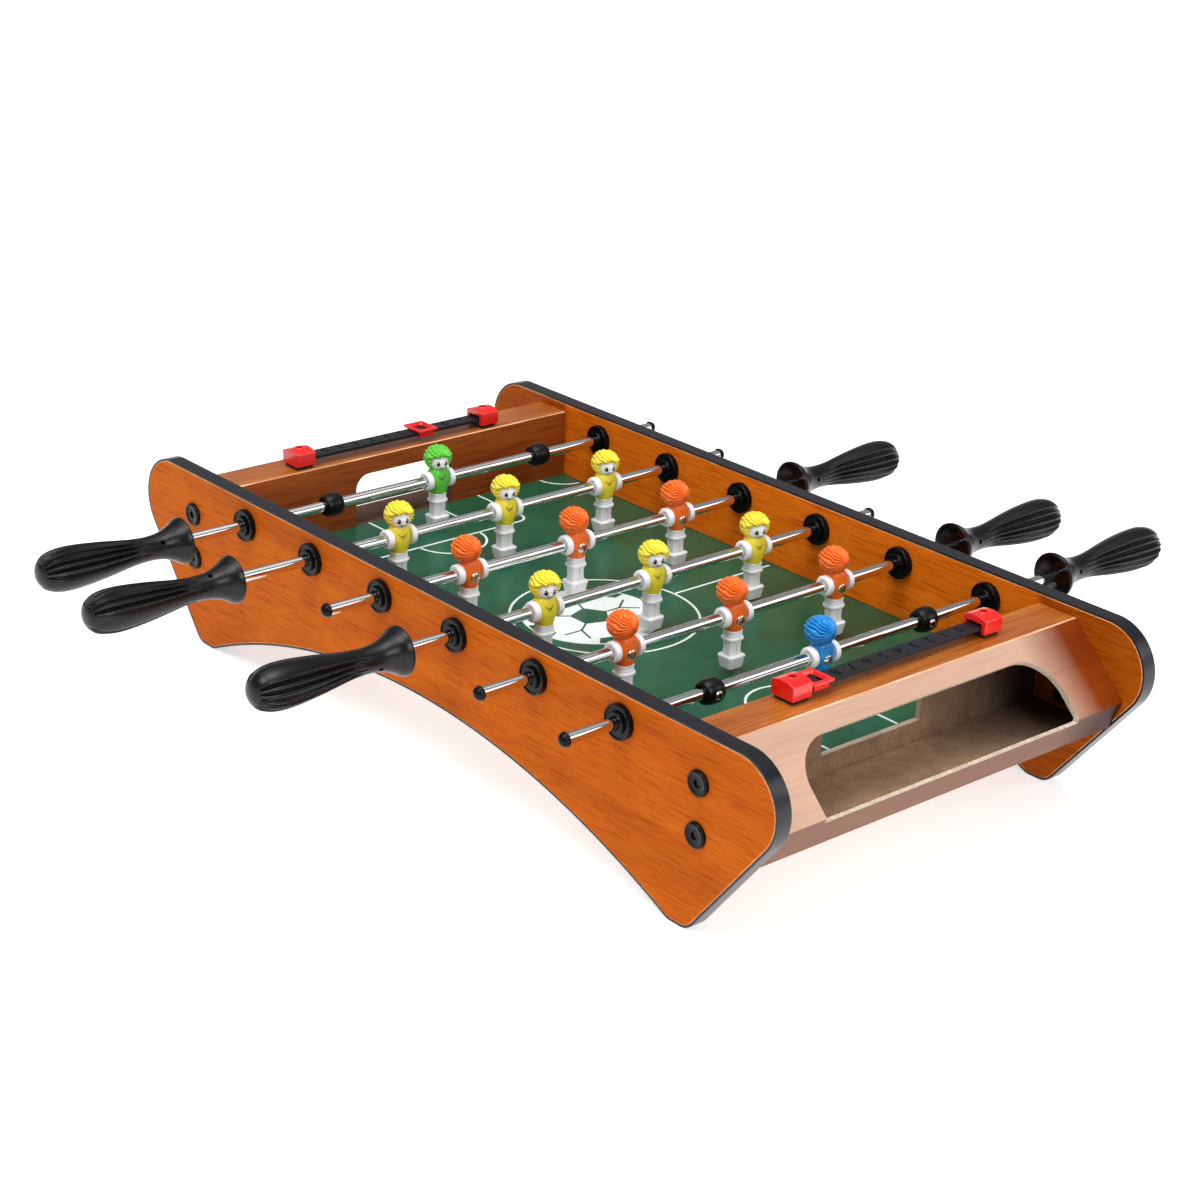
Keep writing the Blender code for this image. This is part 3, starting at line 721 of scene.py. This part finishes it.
def cross_screw(radius, rise):
    """A pan head with a cross recess, its seat on the XY plane; the recess's faces are painted shade in
    the eyes' black.
    """
    shares = ((0, 1), (0.45, 0.97), (0.8, 0.72), (1, 0.25), (1, 0), (0, 0))
    head = turned([(radius * across, rise * up) for across, up in shares], 32)
    arms = []
    for turn in (0, 90):
        arm = block(radius * 1.15, radius * 0.3, rise * 0.35, rise * 2)
        arm.transform(rotation(turn + 20, "Z"))
        arms.append(arm)
    # The cross recess takes the eyes' black: painted shade.
    return combined(painted(head, "screw_steel"), cut("eye", *arms))


def panel_bolt():
    """A button head with a raised rim and a hexagon socket, its seat on the XY plane."""
    profile = [(0, 2.2), (4.6, 2.2), (6, 2.6), (7.2, 3), (8.2, 2.5), (8.6, 1.2), (8.6, 0), (0, 0)]
    head = turned(in_mm(eased(profile, 0.5, 2, closed=False)), 48)
    socket = slab([arc((0, 0), 3 * MM, 0, 300, 5)], 3 * MM)
    socket.transform(at(0, 0, 2.4 * MM))
    return combined(painted(head, "black"), cut("rubber", socket))


# Side panels


def panel_outline(inset):
    """The panel's outline in (x, z)."""
    arch = Vector((0, ARCH_TOP - ARCH_RADIUS))
    heel_x = math.sqrt((ARCH_RADIUS + FOOT_RADIUS) ** 2 - (FOOT_RADIUS - arch.y) ** 2)
    heel = Vector((heel_x, FOOT_RADIUS))
    toe = Vector((heel_x + FOOT_FLAT, FOOT_RADIUS))
    shoulder = Vector((PANEL_HALF_LENGTH - SHOULDER_RADIUS, PANEL_TOP - SHOULDER_RADIUS))
    down = toe - shoulder
    lean = math.acos((SHOULDER_RADIUS - FOOT_RADIUS) / down.length)
    side = math.degrees(math.atan2(down.y, down.x) + lean)
    meeting = math.degrees(math.atan2(heel.y - arch.y, heel.x))
    right = (
        arc(shoulder, SHOULDER_RADIUS - inset, 90, side, 26)
        + arc(toe, FOOT_RADIUS - inset, side, -90, 8)
        + arc(heel, FOOT_RADIUS - inset, -90, meeting - 180, 8)
        + arc(arch, ARCH_RADIUS + inset, meeting, 90, 30)[1:]
    )
    return right + [(-x, z) for x, z in reversed(right[:-1])]


def make_panels():
    holes = [arc((x, z), PANEL_BORE, 0, 345, 23) for x, _, z in ROD_AT.values()]
    field_low, field_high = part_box("playing_field")
    bolt = panel_bolt()
    cap = painted(turned(in_mm(flowing(BOLT_CAP, 4)), 40), "black")
    for side, outward in (("front", -1), ("rear", 1)):
        low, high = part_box(f"side_panel_{side}")
        thickness = high.y - low.y
        to_place = at(0, (low.y + high.y) / 2, 0) @ UPRIGHT
        board = slab([panel_outline(BAND + GAP * 0.3), *holes], thickness, 0.5 * MM)
        board.transform(to_place)
        others = {
            # the eased edges and sides take a painted highlight
            "edge_highlight": lambda face: abs(face.normal.y) < 0.98,
            # the inner face takes the lighter copy: painted light
            "laminate_lit_inside": lambda face: face.normal.y * outward < -0.98,
        }
        painted(board, "laminate", others)
        inner_y, outer_y = (low.y, high.y) if side == "rear" else (high.y, low.y)
        length = field_high.x - field_low.x + 2 * GAP
        groove = block(length, 2 * GROOVE_DEPTH, field_low.z - GAP, field_high.z + GAP, (0, inner_y))
        board = combined(board, cut("raw_board", groove))
        show(f"{side}_panel_board", board, "table", [f"side_panel_{side}"])
        band = slab([panel_outline(0), panel_outline(BAND)], thickness, 0.45 * MM)
        band.transform(to_place)
        painted(band, "band")
        show(f"{side}_edge_band", band, "table", [f"edge_band_{side}"])
        face_in = rotation(90 * outward, "X")
        face_out = rotation(-90 * outward, "X")
        for end, end_name in ((-1, "left"), (1, "right")):
            for height_name, (x, z) in zip(("upper", "lower"), BOLTS):
                name = f"{side}_bolt_{end_name}_{height_name}"
                outside, inside = (at(end * x, y, z) for y in (outer_y, inner_y))
                show(name, bolt, "table", matrix=outside @ face_out)
                show(f"{name}_cap", cap, "table", matrix=inside @ face_in)


# Playing field


def stroke(path, width=LINE):
    """The outline of a line of that width along an open path."""
    left, right = [], []
    for i, point in enumerate(path):
        here = Vector(point)
        ahead = Vector(path[min(i + 1, len(path) - 1)]) - Vector(path[max(i - 1, 0)])
        across = Vector((-ahead.y, ahead.x)).normalized() * width / 2
        left.append(tuple(here + across))
        right.append(tuple(here - across))
    return left + right[::-1]


def make_field():
    low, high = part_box("playing_field")
    board = block(high.x - low.x, high.y - low.y, low.z, high.z, edge=0.2 * MM)
    painted(board, "sawn_edge", {"green_print": lambda face: face.normal.z > 0.9})
    show("field_board", board, "table", ["playing_field"])

    def printed(outlines, look="white_print", lift=0.0):
        mesh = slab(outlines, PRINT_RAISE)
        mesh.transform(at(0, 0, high.z + PRINT_RAISE / 2 + lift))
        return painted(mesh, look)

    middle = Vector(CIRCLE_MIDDLE)
    lines = [printed([arc(middle, CIRCLE_RADIUS + part, 0, 355, 71) for part in (LINE / 2, -LINE / 2)])]
    line_x = middle.x - 1.5 * MM
    for start, end in ((-HALF_LINE, middle.y - CIRCLE_RADIUS), (middle.y + CIRCLE_RADIUS, HALF_LINE)):
        lines.append(printed([stroke([(line_x, start), (line_x, end)])]))
    for sign in (-1, 1):
        line_x = sign * PENALTY_LINE_X
        end_x = sign * FIELD_END
        low_y, high_y = PENALTY_SIDES
        corner_x = line_x + sign * PENALTY_CORNER
        start = 180 if sign > 0 else 360
        penalty = [
            (end_x, low_y),
            *arc((corner_x, low_y + PENALTY_CORNER), PENALTY_CORNER, 270, start, 8),
            *arc((corner_x, high_y - PENALTY_CORNER), PENALTY_CORNER, start % 360, 90, 8),
            (end_x, high_y),
        ]
        lines.append(printed([stroke(penalty)]))
        low_y, high_y = GOAL_AREA_SIDES
        area_x = sign * GOAL_AREA_X
        area = [(end_x, low_y), (area_x, low_y), (area_x, high_y), (end_x, high_y)]
        lines.append(printed([stroke(eased(area, 5 * MM, 4, closed=False))]))
        start = 90 if sign > 0 else -90
        lines.append(printed([stroke(arc((line_x, ARC_MIDDLE_Y), ARC_RADIUS, start, start + 180, 24))]))
        for side in (-1, 1):
            start = {(1, 1): 180, (-1, 1): 270, (-1, -1): 0, (1, -1): 90}[sign, side]
            corner = (sign * FIELD_CORNER[0], side * FIELD_CORNER[1])
            lines.append(printed([stroke(arc(corner, CORNER_RADIUS, start + 3, start + 87, 12))]))
    show("field_lines", joined(*lines), "table")

    ball = Vector(BALL_MIDDLE)
    disc = printed([arc(ball, BALL_RADIUS, 0, 355, 71)])
    patches = [arc(ball, 15 * MM, 18, 306, 4)]
    for i in range(5):
        turn = 18 + 72 * i
        direction = heading(turn)
        seam = [tuple(ball + direction * reach) for reach in (15 * MM, 27 * MM)]
        patches.append(stroke(seam, SEAM))
        fork = ball + direction * 27 * MM
        for lean in (-38, 38):
            patches.append(stroke([tuple(fork), tuple(fork + heading(turn + lean) * 15 * MM)], SEAM))
        outer = turn + 36
        rim = arc(ball, BALL_RADIUS - 1.2 * MM, outer - 15, outer + 15, 6)
        patches.append(rim + arc(ball, BALL_RADIUS - 10 * MM, outer + 13, outer - 13, 1))
    patches = [printed([patch], "green_print", PRINT_RAISE) for patch in patches]
    show("field_ball_motif", joined(disc, *patches), "table")


# End boxes


def fold_profile(box_low, box_high):
    """The right end box's (x, z) section: outside points, inside points, a look for each outside run."""
    outside = [
        Vector((box_low.x, box_low.z)),
        Vector((box_low.x, box_high.z)),
        Vector((SHELF_END_X, box_high.z)),
        Vector(FOLD),
        Vector(LIP_END),
    ]
    runs = [(b - a).normalized() for a, b in zip(outside, outside[1:])]
    normals = [Vector((run.y, -run.x)) for run in runs]
    inside = [outside[0] + normals[0] * BOARD]
    for before, after, corner in zip(normals, normals[1:], outside[1:]):
        inside.append(corner + (before + after) / (1 + before.dot(after)) * BOARD)
    inside.append(outside[-1] + Vector((BOARD / normals[-1].x, 0)))
    highlighted = [outside[0]]
    looks = []
    # Lit and shaded copies of one film, one for each face: painted light and shade.
    films = ("goal_film_painted_shade", "shelf_film", "slope_film_painted_light", "lip_film_painted_shade")
    # The goal and shelf folds get narrow strips of painted highlight; the slope's lower fold does not.
    for before, after, corner, film in zip(runs, runs[1:], outside[1:], films):
        highlighted += [corner - before * FOLD_HIGHLIGHT, corner + after * FOLD_HIGHLIGHT]
        looks += [film, "slope_film_painted_light" if film == "slope_film_painted_light" else "highlighted_film"]
    highlighted.append(outside[-1])
    looks.append(films[-1])
    return highlighted, inside, looks


def doorway(half_width, foot, top, corner, steps):
    """The outline of an opening from its foot up to its top, with two round corners."""
    side, rise = half_width - corner, top - corner
    right = arc((side, rise), corner, 0, 90, steps)
    left = arc((-side, rise), corner, 90, 180, steps)
    return [(half_width, foot), *right, *left, (-half_width, foot)]


def make_end_boxes():
    low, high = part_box("end_box_right")
    outside, inside, looks = fold_profile(low, high)
    loop = outside + inside[::-1]
    form = bmesh.new()
    near = [form.verts.new((p.x, low.y, p.y)) for p in loop]
    far = [form.verts.new((p.x, high.y, p.y)) for p in loop]
    names = ["raw_board", "goal_film_painted_shade", "shelf_film", "slope_film_painted_light", "lip_film_painted_shade", "highlighted_film", "sawn_edge"]
    form.faces.new(near)
    form.faces.new(far[::-1])
    for i in range(len(loop)):
        j = (i + 1) % len(loop)
        face = form.faces.new((near[i], far[i], far[j], near[j]))
        if i < len(looks):
            face.material_index = names.index(looks[i])
        elif i in (len(outside) - 1, len(loop) - 1):
            face.material_index = names.index("sawn_edge")
    box = closed_mesh(form)
    for name in names:
        box.materials.append(LOOKS[name])

    field_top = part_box("playing_field")[1].z
    goal = doorway(GOAL_HALF_WIDTH, field_top, GOAL_TOP, GOAL_CORNER, 12)
    goal_cutter = slab([goal], BOARD + 10 * MM)
    goal_cutter.transform(at(low.x + BOARD / 2, 0, 0) @ ACROSS_X)
    shelf_edge = Vector((SHELF_END_X, high.z))
    fold = Vector(FOLD)
    slope = fold - shelf_edge
    mouth = doorway(RETURN_HALF_WIDTH, 1 * MM - slope.length, -RETURN_TOP, RETURN_CORNER, 16)
    mouth_cutter = slab([mouth], 2 * (BOARD + 5 * MM))
    up = Vector((-slope.x, 0, -slope.y)).normalized()
    out = Vector((-slope.y, 0, slope.x)).normalized()
    mouth_cutter.transform(
        at(shelf_edge.x, 0, shelf_edge.y)
        @ Matrix(((0, up.x, out.x, 0), (1, 0, 0, 0), (0, up.z, out.z, 0), (0, 0, 0, 1)))
    )
    lip = (Vector(LIP_END) - fold).normalized()
    lip_out = Vector((-lip.y, lip.x))
    for side, matrix in (("left", HALF_TURN), ("right", Matrix())):
        end_of_cut = fold + lip * RETURN_INTO_LIP[side]
        notch = [
            end_of_cut + lip_out * 5 * MM,
            fold + lip_out * 5 * MM,
            fold + Vector((0, BOARD)),
            fold + Vector((-2 * BOARD, BOARD)),
            end_of_cut - lip_out * 2 * BOARD,
        ]
        notch_cutter = slab([[tuple(p) for p in notch]], 2 * RETURN_HALF_WIDTH)
        notch_cutter.transform(UPRIGHT)
        cutters = (goal_cutter.copy(), mouth_cutter.copy(), notch_cutter)
        # The left box's inside and cut edges take the darker copy of the board: painted shade.
        edge, inside_look = ("sawn_edge", "raw_board") if side == "right" else ("painted_shade_board", "painted_shade_board")
        folded = box.copy()
        folded.materials[names.index("raw_board")] = LOOKS[inside_look]
        wrap = combined(folded, cut(edge, *cutters), 25)
        show(f"{side}_end_box_wrap", wrap, "table", [f"end_box_{side}"], matrix)
        node = f"ball_tray_{side}"
        tray_low, tray_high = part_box(node)
        size = tray_high - tray_low
        width = size.x + 0.5 * MM
        tray = block(width, size.y, tray_low.z, tray_high.z, middle_of(node).xy, 0.3 * MM)
        show(f"{side}_ball_tray", painted(tray, inside_look), "table", [node])


# Score counters


def digit(number):
    """The outline of a plain figure as a solid, standing on its baseline's middle."""
    curve = bpy.data.curves.new("digit", "FONT")
    curve.body = str(number)
    curve.align_x = "CENTER"
    curve.align_y = "CENTER"
    curve.size = DIGIT_HEIGHT / 0.7
    curve.extrude = 0.4 * MM
    curve.resolution_u = 4
    return filled(curve)


def rail_mesh():
    width, length, low, high = RAIL
    steps = []
    for end in (-1, 1):
        post_y = end * (length / 2 - RAIL_POST[1] / 2 - 0.1 * MM)
        post = block(*RAIL_POST, RAIL_PLATE_TOP / 2, (low + high) / 2, (0, post_y))
        plate = block(*RAIL_PLATE, GAP, RAIL_PLATE_TOP, (0, end * MOUNT_Y), 0.3 * MM)
        steps += [("UNION", painted(post, "rail")), ("UNION", painted(plate, "rail"))]
    for number in range(10):
        mark = digit(number)
        mark.transform(at(0, DIGIT_FIRST_Y - number * DIGIT_STEP, high) @ rotation(-90, "Z"))
        steps += cut("black", mark)
    bar = block(width, length, low, high, edge=0.4 * MM)
    return combined(painted(bar, "rail"), steps)


def mount_mesh():
    low, side, top = MOUNT_HEIGHTS
    half = MOUNT_WIDTH / 2
    rise = top - side
    radius = (half**2 + rise**2) / (2 * rise)
    spread = math.degrees(math.asin(half / radius))
    outline = [(-half, low), (half, low), *arc((0, top - radius), radius, 90 - spread, 90 + spread, 14)]
    arch = slab([eased(outline, 0.9 * MM, 3)], MOUNT_LENGTH, 0.7 * MM)
    arch.transform(UPRIGHT)
    boss_radius, boss_top = MOUNT_BOSS
    boss_edge = [(boss_radius - 0.5 * MM, boss_top), (boss_radius, boss_top - 0.4 * MM)]
    boss = turned([(0, boss_top), *boss_edge, (boss_radius, side), (0, side)], 40)
    tunnel = block(MOUNT_WIDTH - 2 * MOUNT_WALL, MOUNT_LENGTH, -5 * MM, RAIL[3] + 2 * MM, (0, -2 * MM))
    hole = turned(in_mm([(0, 20), (2.4, 20), (2.2, 10), (2.2, -5), (0, -5)]), 32)
    return combined(painted(arch, "red"), [("UNION", painted(boss, "red")), *cut("red", tunnel, hole)])


def slider_mesh():
    width, _, rail_low, rail_high = RAIL
    body = block(16.6 * MM, 13 * MM, 4 * MM, 9.4 * MM, edge=0.5 * MM)
    plate = block(21 * MM, 18 * MM, rail_high + GAP, 10.5 * MM, edge=0.75 * MM)
    tunnel = block(width + 2 * GAP, 40 * MM, rail_low - GAP, rail_high + GAP)
    slot = block(width - 4 * MM, 40 * MM, -2 * MM, rail_low)
    window = lofted([(12, 8.4, 7), (10.4, 7.6, 6.3), (8.6, 6.2, 5), (6, 6.2, 5)], power=8, steps=48)
    steps = [("UNION", painted(plate, "red")), *cut("red", tunnel, slot, window)]
    return combined(painted(body, "red"), steps)


def make_score_counters():
    rail, mount, slider = rail_mesh(), mount_mesh(), slider_mesh()
    screw = cross_screw(2.1 * MM, 1.1 * MM)
    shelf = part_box("end_box_right")[1].z
    for side in ("left", "right"):
        turn = HALF_TURN if side == "left" else Matrix()
        node = f"score_rail_{side}"
        spot = middle_of(node)
        place = at(spot.x, spot.y, shelf) @ turn
        show(f"{side}_score_rail", rail, "table", [node], place)
        for end in ("front", "rear"):
            node = f"score_mount_{side}_{end}"
            spot = middle_of(node)
            facing = HALF_TURN if end == "front" else Matrix()
            place = at(spot.x, spot.y, shelf)
            name = f"{side}_score_mount_{end}"
            show(name, mount, "table", [node], place @ facing)
            show(f"{name}_screw", screw, "table", matrix=place @ at(0, 0, RAIL[3]))
        node = f"score_slider_{side}"
        spot = middle_of(node)
        show(f"{side}_score_slider", slider, node, [node], at(spot.x, spot.y, shelf))


# Rods and what is on them


def bush_mesh(thickness):
    """A spool through a panel of that thickness."""
    face = thickness / 2 + 0.3 * MM
    upper = [(radius, face + height) for radius, height in in_mm(BUSH_OUTSIDE)]
    path = upper + [(radius, -height) for radius, height in reversed(upper)]
    return painted(turned(path, 64, closed=True), "black")


def handle_mesh():
    """A grip with a hollow bell; the bell's rim is at the origin and +Z runs to the tip."""

    def fluted(radius, height, angle):
        height_mm = height / MM
        if radius < 4.4 * MM or height_mm < 20:
            return radius
        fade = min(1, max(0, (height_mm - 27) / 26))
        fade *= min(1, max(0, (113.5 - height_mm) / 3))
        fade = fade * fade * (3 - 2 * fade)
        depth = 0
        for flute in FLUTES:
            off = (math.degrees(angle) - flute + 180) % 360 - 180
            depth = max(depth, math.exp(-((off / FLUTE_WIDTH) ** 2)))
        return radius - FLUTE_DEPTH * MM * fade * depth * min(1, radius / (9 * MM))

    path = flowing(in_mm(HANDLE_OUTSIDE), 5) + in_mm(HANDLE_INSIDE)
    grip = painted(turned(path, 216, shape=fluted), "grip")
    hole = turned(in_mm([(0, 14), (1.7, 14), (1.7, 6), (0, 6)]), 24)
    aside = rotation(-15, "Z")
    hole.transform(at(0, 0, 20.5 * MM) @ aside @ rotation(90, "Y"))
    return combined(grip, cut("black", hole))


def stopper_mesh():
    outside = [(6, 7.5), (7.5, 6.5), (8.5, 3.4), (8.7, 0), (8.5, -3.4), (7.5, -6.5), (6, -7.5)]
    path = [(4.3, 7.6), *flowing(outside, 4), (4.3, -7.6)]
    return painted(turned(in_mm(path), 48, closed=True), "rubber")


def hair_mesh():
    """Combed hair about the middle of a head that faces +X: ridges sweep forward from the crown."""
    crown = Vector((-0.96, -0.2, 0.12)).normalized()
    side = crown.orthogonal().normalized()
    third = crown.cross(side)
    form = bmesh.new()
    rings = []
    around = HAIR_RIDGES * 12
    for i in range(37):
        polar = math.pi * i / 36
        ring = []
        for j in range(around):
            turn = math.tau * j / around
            away = side * math.cos(turn) + third * math.sin(turn)
            out = crown * math.cos(polar) + away * math.sin(polar)
            wobble = noise.noise(out * 1.7) * 2.2 + polar * 2.6
            ridge = abs(math.sin(HAIR_RIDGES * turn / 2 + wobble)) ** 0.5
            reach = 1 + 0.19 * (ridge - 0.78) * min(1, math.sin(polar) * 1.8)
            if out.x > 0:
                fringe = 0.34 - 0.3 * out.y * out.y + 0.05 * math.sin(9 * out.y + 0.6)
                window = min(1, max(0, (out.x - 0.5) / 0.16))
                window *= min(1, max(0, (fringe - out.z) / 0.12))
                reach -= 0.34 * window
                lip = math.exp(-(((out.z - fringe - 0.14) / 0.15) ** 2)) * min(1, out.x * 1.4)
                reach += 0.07 * lip
            spot = Vector((out.x * 10.3 - 0.5, out.y * 10.5, out.z * 9.6)) * reach
            if spot.z < -8:
                spot.z = -8 + (spot.z + 8) * 0.3
            ring.append(form.verts.new(spot * MM))
        rings.append(ring)
    return shaded(skinned(form, rings), 60)


def face_mesh():
    """A plain doll's face that looks to +X: two oval eyes, a small nose and a smile."""
    deep, wide, tall = 7.4, 7.2, 6.7
    parts = [
        painted(ellipsoid((deep, wide, tall), (0, 0, 0)), "white"),
        painted(ellipsoid((0.8, 0.7, 0.6), (deep, 0, -1.8), 12, 8), "white"),
    ]
    for turn in (-25, 25):
        aside = rotation(turn, "Z")
        eye = painted(ellipsoid((0.5, 1.35, 1.8), (deep - 0.25, 0, 0), 20, 12), "eye")
        glint = painted(ellipsoid((0.2, 0.45, 0.5), (deep + 0.15, -0.4, 0.7), 10, 6), "white")
        parts += [moved(eye, aside), moved(glint, aside)]
    smile = []
    for step in range(9):
        across = (step / 4 - 1) * 1.9
        down = -4.5 + 0.32 * across**2
        reach = deep * math.sqrt(1 - (across / wide) ** 2 - (down / tall) ** 2)
        smile.append((reach, across, down))
    parts.append(painted(tube(smile, 0.26), "eye"))
    return moved(joined(*parts), at(1.9 * MM, 0, -2.6 * MM))


def on_vest(across, height):
    """A point on the vest's chest."""
    half_x = 7.5 - 0.1 * (height - 1)
    half_y = 8.6 - 0.16 * (height - 1)
    return (half_x * (1 - abs(across / half_y) ** 2.3) ** (1 / 2.3), across, height)


def player_meshes(colour, facing):
    """The white plastic and the coloured plastic of one player, about the rod's axis."""
    sleeve = turned(in_mm(SLEEVE), 48, closed=True)
    white = []
    for side in (-1, 1):
        white.append(painted(moved(sleeve, rotation(-90 * side, "X")), "white"))
    white.append(painted(lofted(SHORTS, 3), "white"))
    legs = painted(lofted(LEGS, 5), "white")
    grooves = [block(2 * MM, 0.9 * MM, -30 * MM, -19 * MM, (end * 4.6 * MM, 0)) for end in (-1, 1)]
    white.append(combined(legs, cut("white", *grooves)))
    white.append(painted(lofted(BOOT, 6), "white"))
    set_x, set_y = HEAD_SET[colour]
    look = rotation(HEAD_TURN + (0 if facing > 0 else 180), "Z")
    head = at(set_x * MM, set_y * MM, HEAD_MIDDLE * MM) @ look
    white.append(moved(face_mesh(), head))

    vest = painted(lofted(flowing(VEST, 3), 2.3), colour)
    neck = painted(ellipsoid((5.6, 5.6, 5), (set_x * 0.6, set_y * 0.6, 8.2)), colour)
    hair = painted(moved(hair_mesh(), head), colour)
    collar = ((-3.2, 4.6), (-1, 1.9), (0, 1), (1, 1.9), (3.2, 4.6))
    chevron = ((-1.1, 3.5), (0, 2.3), (1.1, 3.5))
    body_turn = Matrix() if facing > 0 else HALF_TURN
    marks = []
    for line in (collar, chevron):
        line = [on_vest(across - 1.4, height) for across, height in line]
        marks.append(painted(moved(tube(line, 0.3), body_turn), "mark"))
    return joined(*white), joined(vest, neck, hair, *marks)


def make_players():
    meshes = {}
    screw = cross_screw(4 * MM, 1.9 * MM)
    for number, (x, _, z) in ROD_AT.items():
        body = f"rod_{number}"
        for node in frame["record"]["behaviour"]["bodies"][body]:
            colour = node.split("_")[0]
            if colour not in HEAD_SET:
                continue
            facing = 1 if colour in ("green", "yellow") else -1
            if colour not in meshes:
                meshes[colour] = player_meshes(colour, facing)
            white, coloured = meshes[colour]
            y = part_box(node)[1].y - SLEEVE_REACH
            place = at(x, y, z)
            show(f"{node}_kit", coloured, body, [node], place)
            show(f"{node}_figure", white, body, matrix=place)
            back = rotation(-90 * facing, "Y")
            show(f"{node}_screw", screw, body, matrix=place @ at(-facing * 6.3 * MM, 0, -2 * MM) @ back)


def make_rods():
    panel_low, panel_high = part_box("side_panel_front")
    bush = bush_mesh(panel_high.y - panel_low.y)
    handle = handle_mesh()
    stopper = stopper_mesh()
    screw = cross_screw(3.2 * MM, 1.6 * MM)
    for number, (x, _, z) in ROD_AT.items():
        body = f"rod_{number}"
        for end in ("front", "rear"):
            node = f"bush_{number}_{end}"
            place = at(x, middle_of(node).y, z) @ ALONG_Y
            show(f"{body}_bush_{end}", bush, f"{body}_bushes", [node], place)
        low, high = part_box(f"rod_{number}")
        side = 1 if middle_of(f"handle_{number}").y > 0 else -1
        to_handle = ALONG_Y if side > 0 else ALONG_Y @ rotation(180, "X")
        cap_end, handle_end = sorted((low.y * side, high.y * side))
        cap_seat = cap_end + CAP_LENGTH
        shaft = [(0, handle_end), (3.6 * MM, handle_end), (ROD_RADIUS, handle_end - 0.4 * MM)]
        shaft += [(ROD_RADIUS, cap_seat), (0, cap_seat)]
        cap = [(0, cap_seat), (4.6 * MM, cap_seat), (CAP_RADIUS, cap_seat - 0.5 * MM)]
        cap += arc((0, cap_end + CAP_RADIUS), CAP_RADIUS, 0, -90, 10)[:-1] + [(0, cap_end)]
        tube_mesh = painted(turned(shaft, 64), "steel")
        cap_mesh = painted(turned(cap, 48), "black")
        place = at(x, 0, z) @ to_handle
        show(f"{body}_tube", tube_mesh, body, [body], place)
        show(f"{body}_cap", cap_mesh, body, matrix=place)
        grip_low, grip_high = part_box(f"handle_{number}")
        rim = grip_low.y if side > 0 else grip_high.y
        place = at(x, rim, z) @ to_handle @ rotation(-side * HANDLE_ROLL[number], "Z")
        show(f"handle_{number}_grip", handle, body, [f"handle_{number}"], place)
        if number in (1, 6):
            facing = 1 if number == 6 else -1
            outwards = at(facing * 8 * MM, 0, 0) @ rotation(90 * facing, "Y")
            for end in ("front", "rear"):
                node = f"stopper_{number}_{end}"
                name = f"{body}_stopper_{end}"
                place = at(x, middle_of(node).y, z)
                show(name, stopper, body, [node], place @ ALONG_Y)
                show(f"{name}_screw", screw, body, matrix=place @ outwards)


# Studio


def make_studio():
    floor_finish = Finish(
        "studio_floor", Roughness=0.9, Emission_Color=WHITE, Emission_Strength=0.6
    )
    clouds = floor_finish.noise((2, 2, 2), 2)
    pale = floor_finish.ramp(clouds, (0.3, srgb(226, 226, 226)), (0.7, srgb(230, 230, 230)))
    floor_finish.coloured(pale)
    form = bmesh.new()
    bmesh.ops.create_grid(form, x_segments=1, y_segments=1, size=FLOOR_SIZE / 2)
    mesh = bpy.data.meshes.new("studio_floor")
    form.to_mesh(mesh)
    form.free()
    mesh.materials.append(floor_finish.material)
    floor = placed("studio_floor", mesh)
    floor.location.z = -0.2 * MM

    scene.world = bpy.data.worlds.new("studio")
    sky = Nodes(scene.world, "Generated")
    background = sky.tree.nodes["Background"]
    greys = [(height, (level, level, level, 1)) for height, level in SKY]
    sky.feed(background.inputs["Color"], sky.ramp(sky.split("Z"), *greys))
    background.inputs["Strength"].default_value = 0.8

    for name, place, size, power in LIGHTS:
        light = bpy.data.lights.new(name, "AREA")
        light.shape = "SQUARE"
        light.size = size
        light.energy = power
        lamp = placed(name, light)
        lamp.location = place
        aim = Vector((0, 0, 0.08)) - Vector(place)
        lamp.rotation_euler = aim.to_track_quat("-Z", "Y").to_euler()


def make_camera():
    camera = bpy.data.cameras.new("camera")
    camera.lens = LENS
    camera.sensor_width = 36
    camera.clip_end = 50
    eye = placed("camera", camera)
    columns = (CAMERA_RIGHT, CAMERA_UP, CAMERA_BACK, CAMERA_AT)
    rows = [[column[i] for column in columns] for i in range(3)] + [[0, 0, 0, 1]]
    eye.matrix_world = Matrix(rows)
    scene.camera = eye


make_panels()
make_field()
make_end_boxes()
make_score_counters()
make_rods()
make_players()
make_studio()
make_camera()
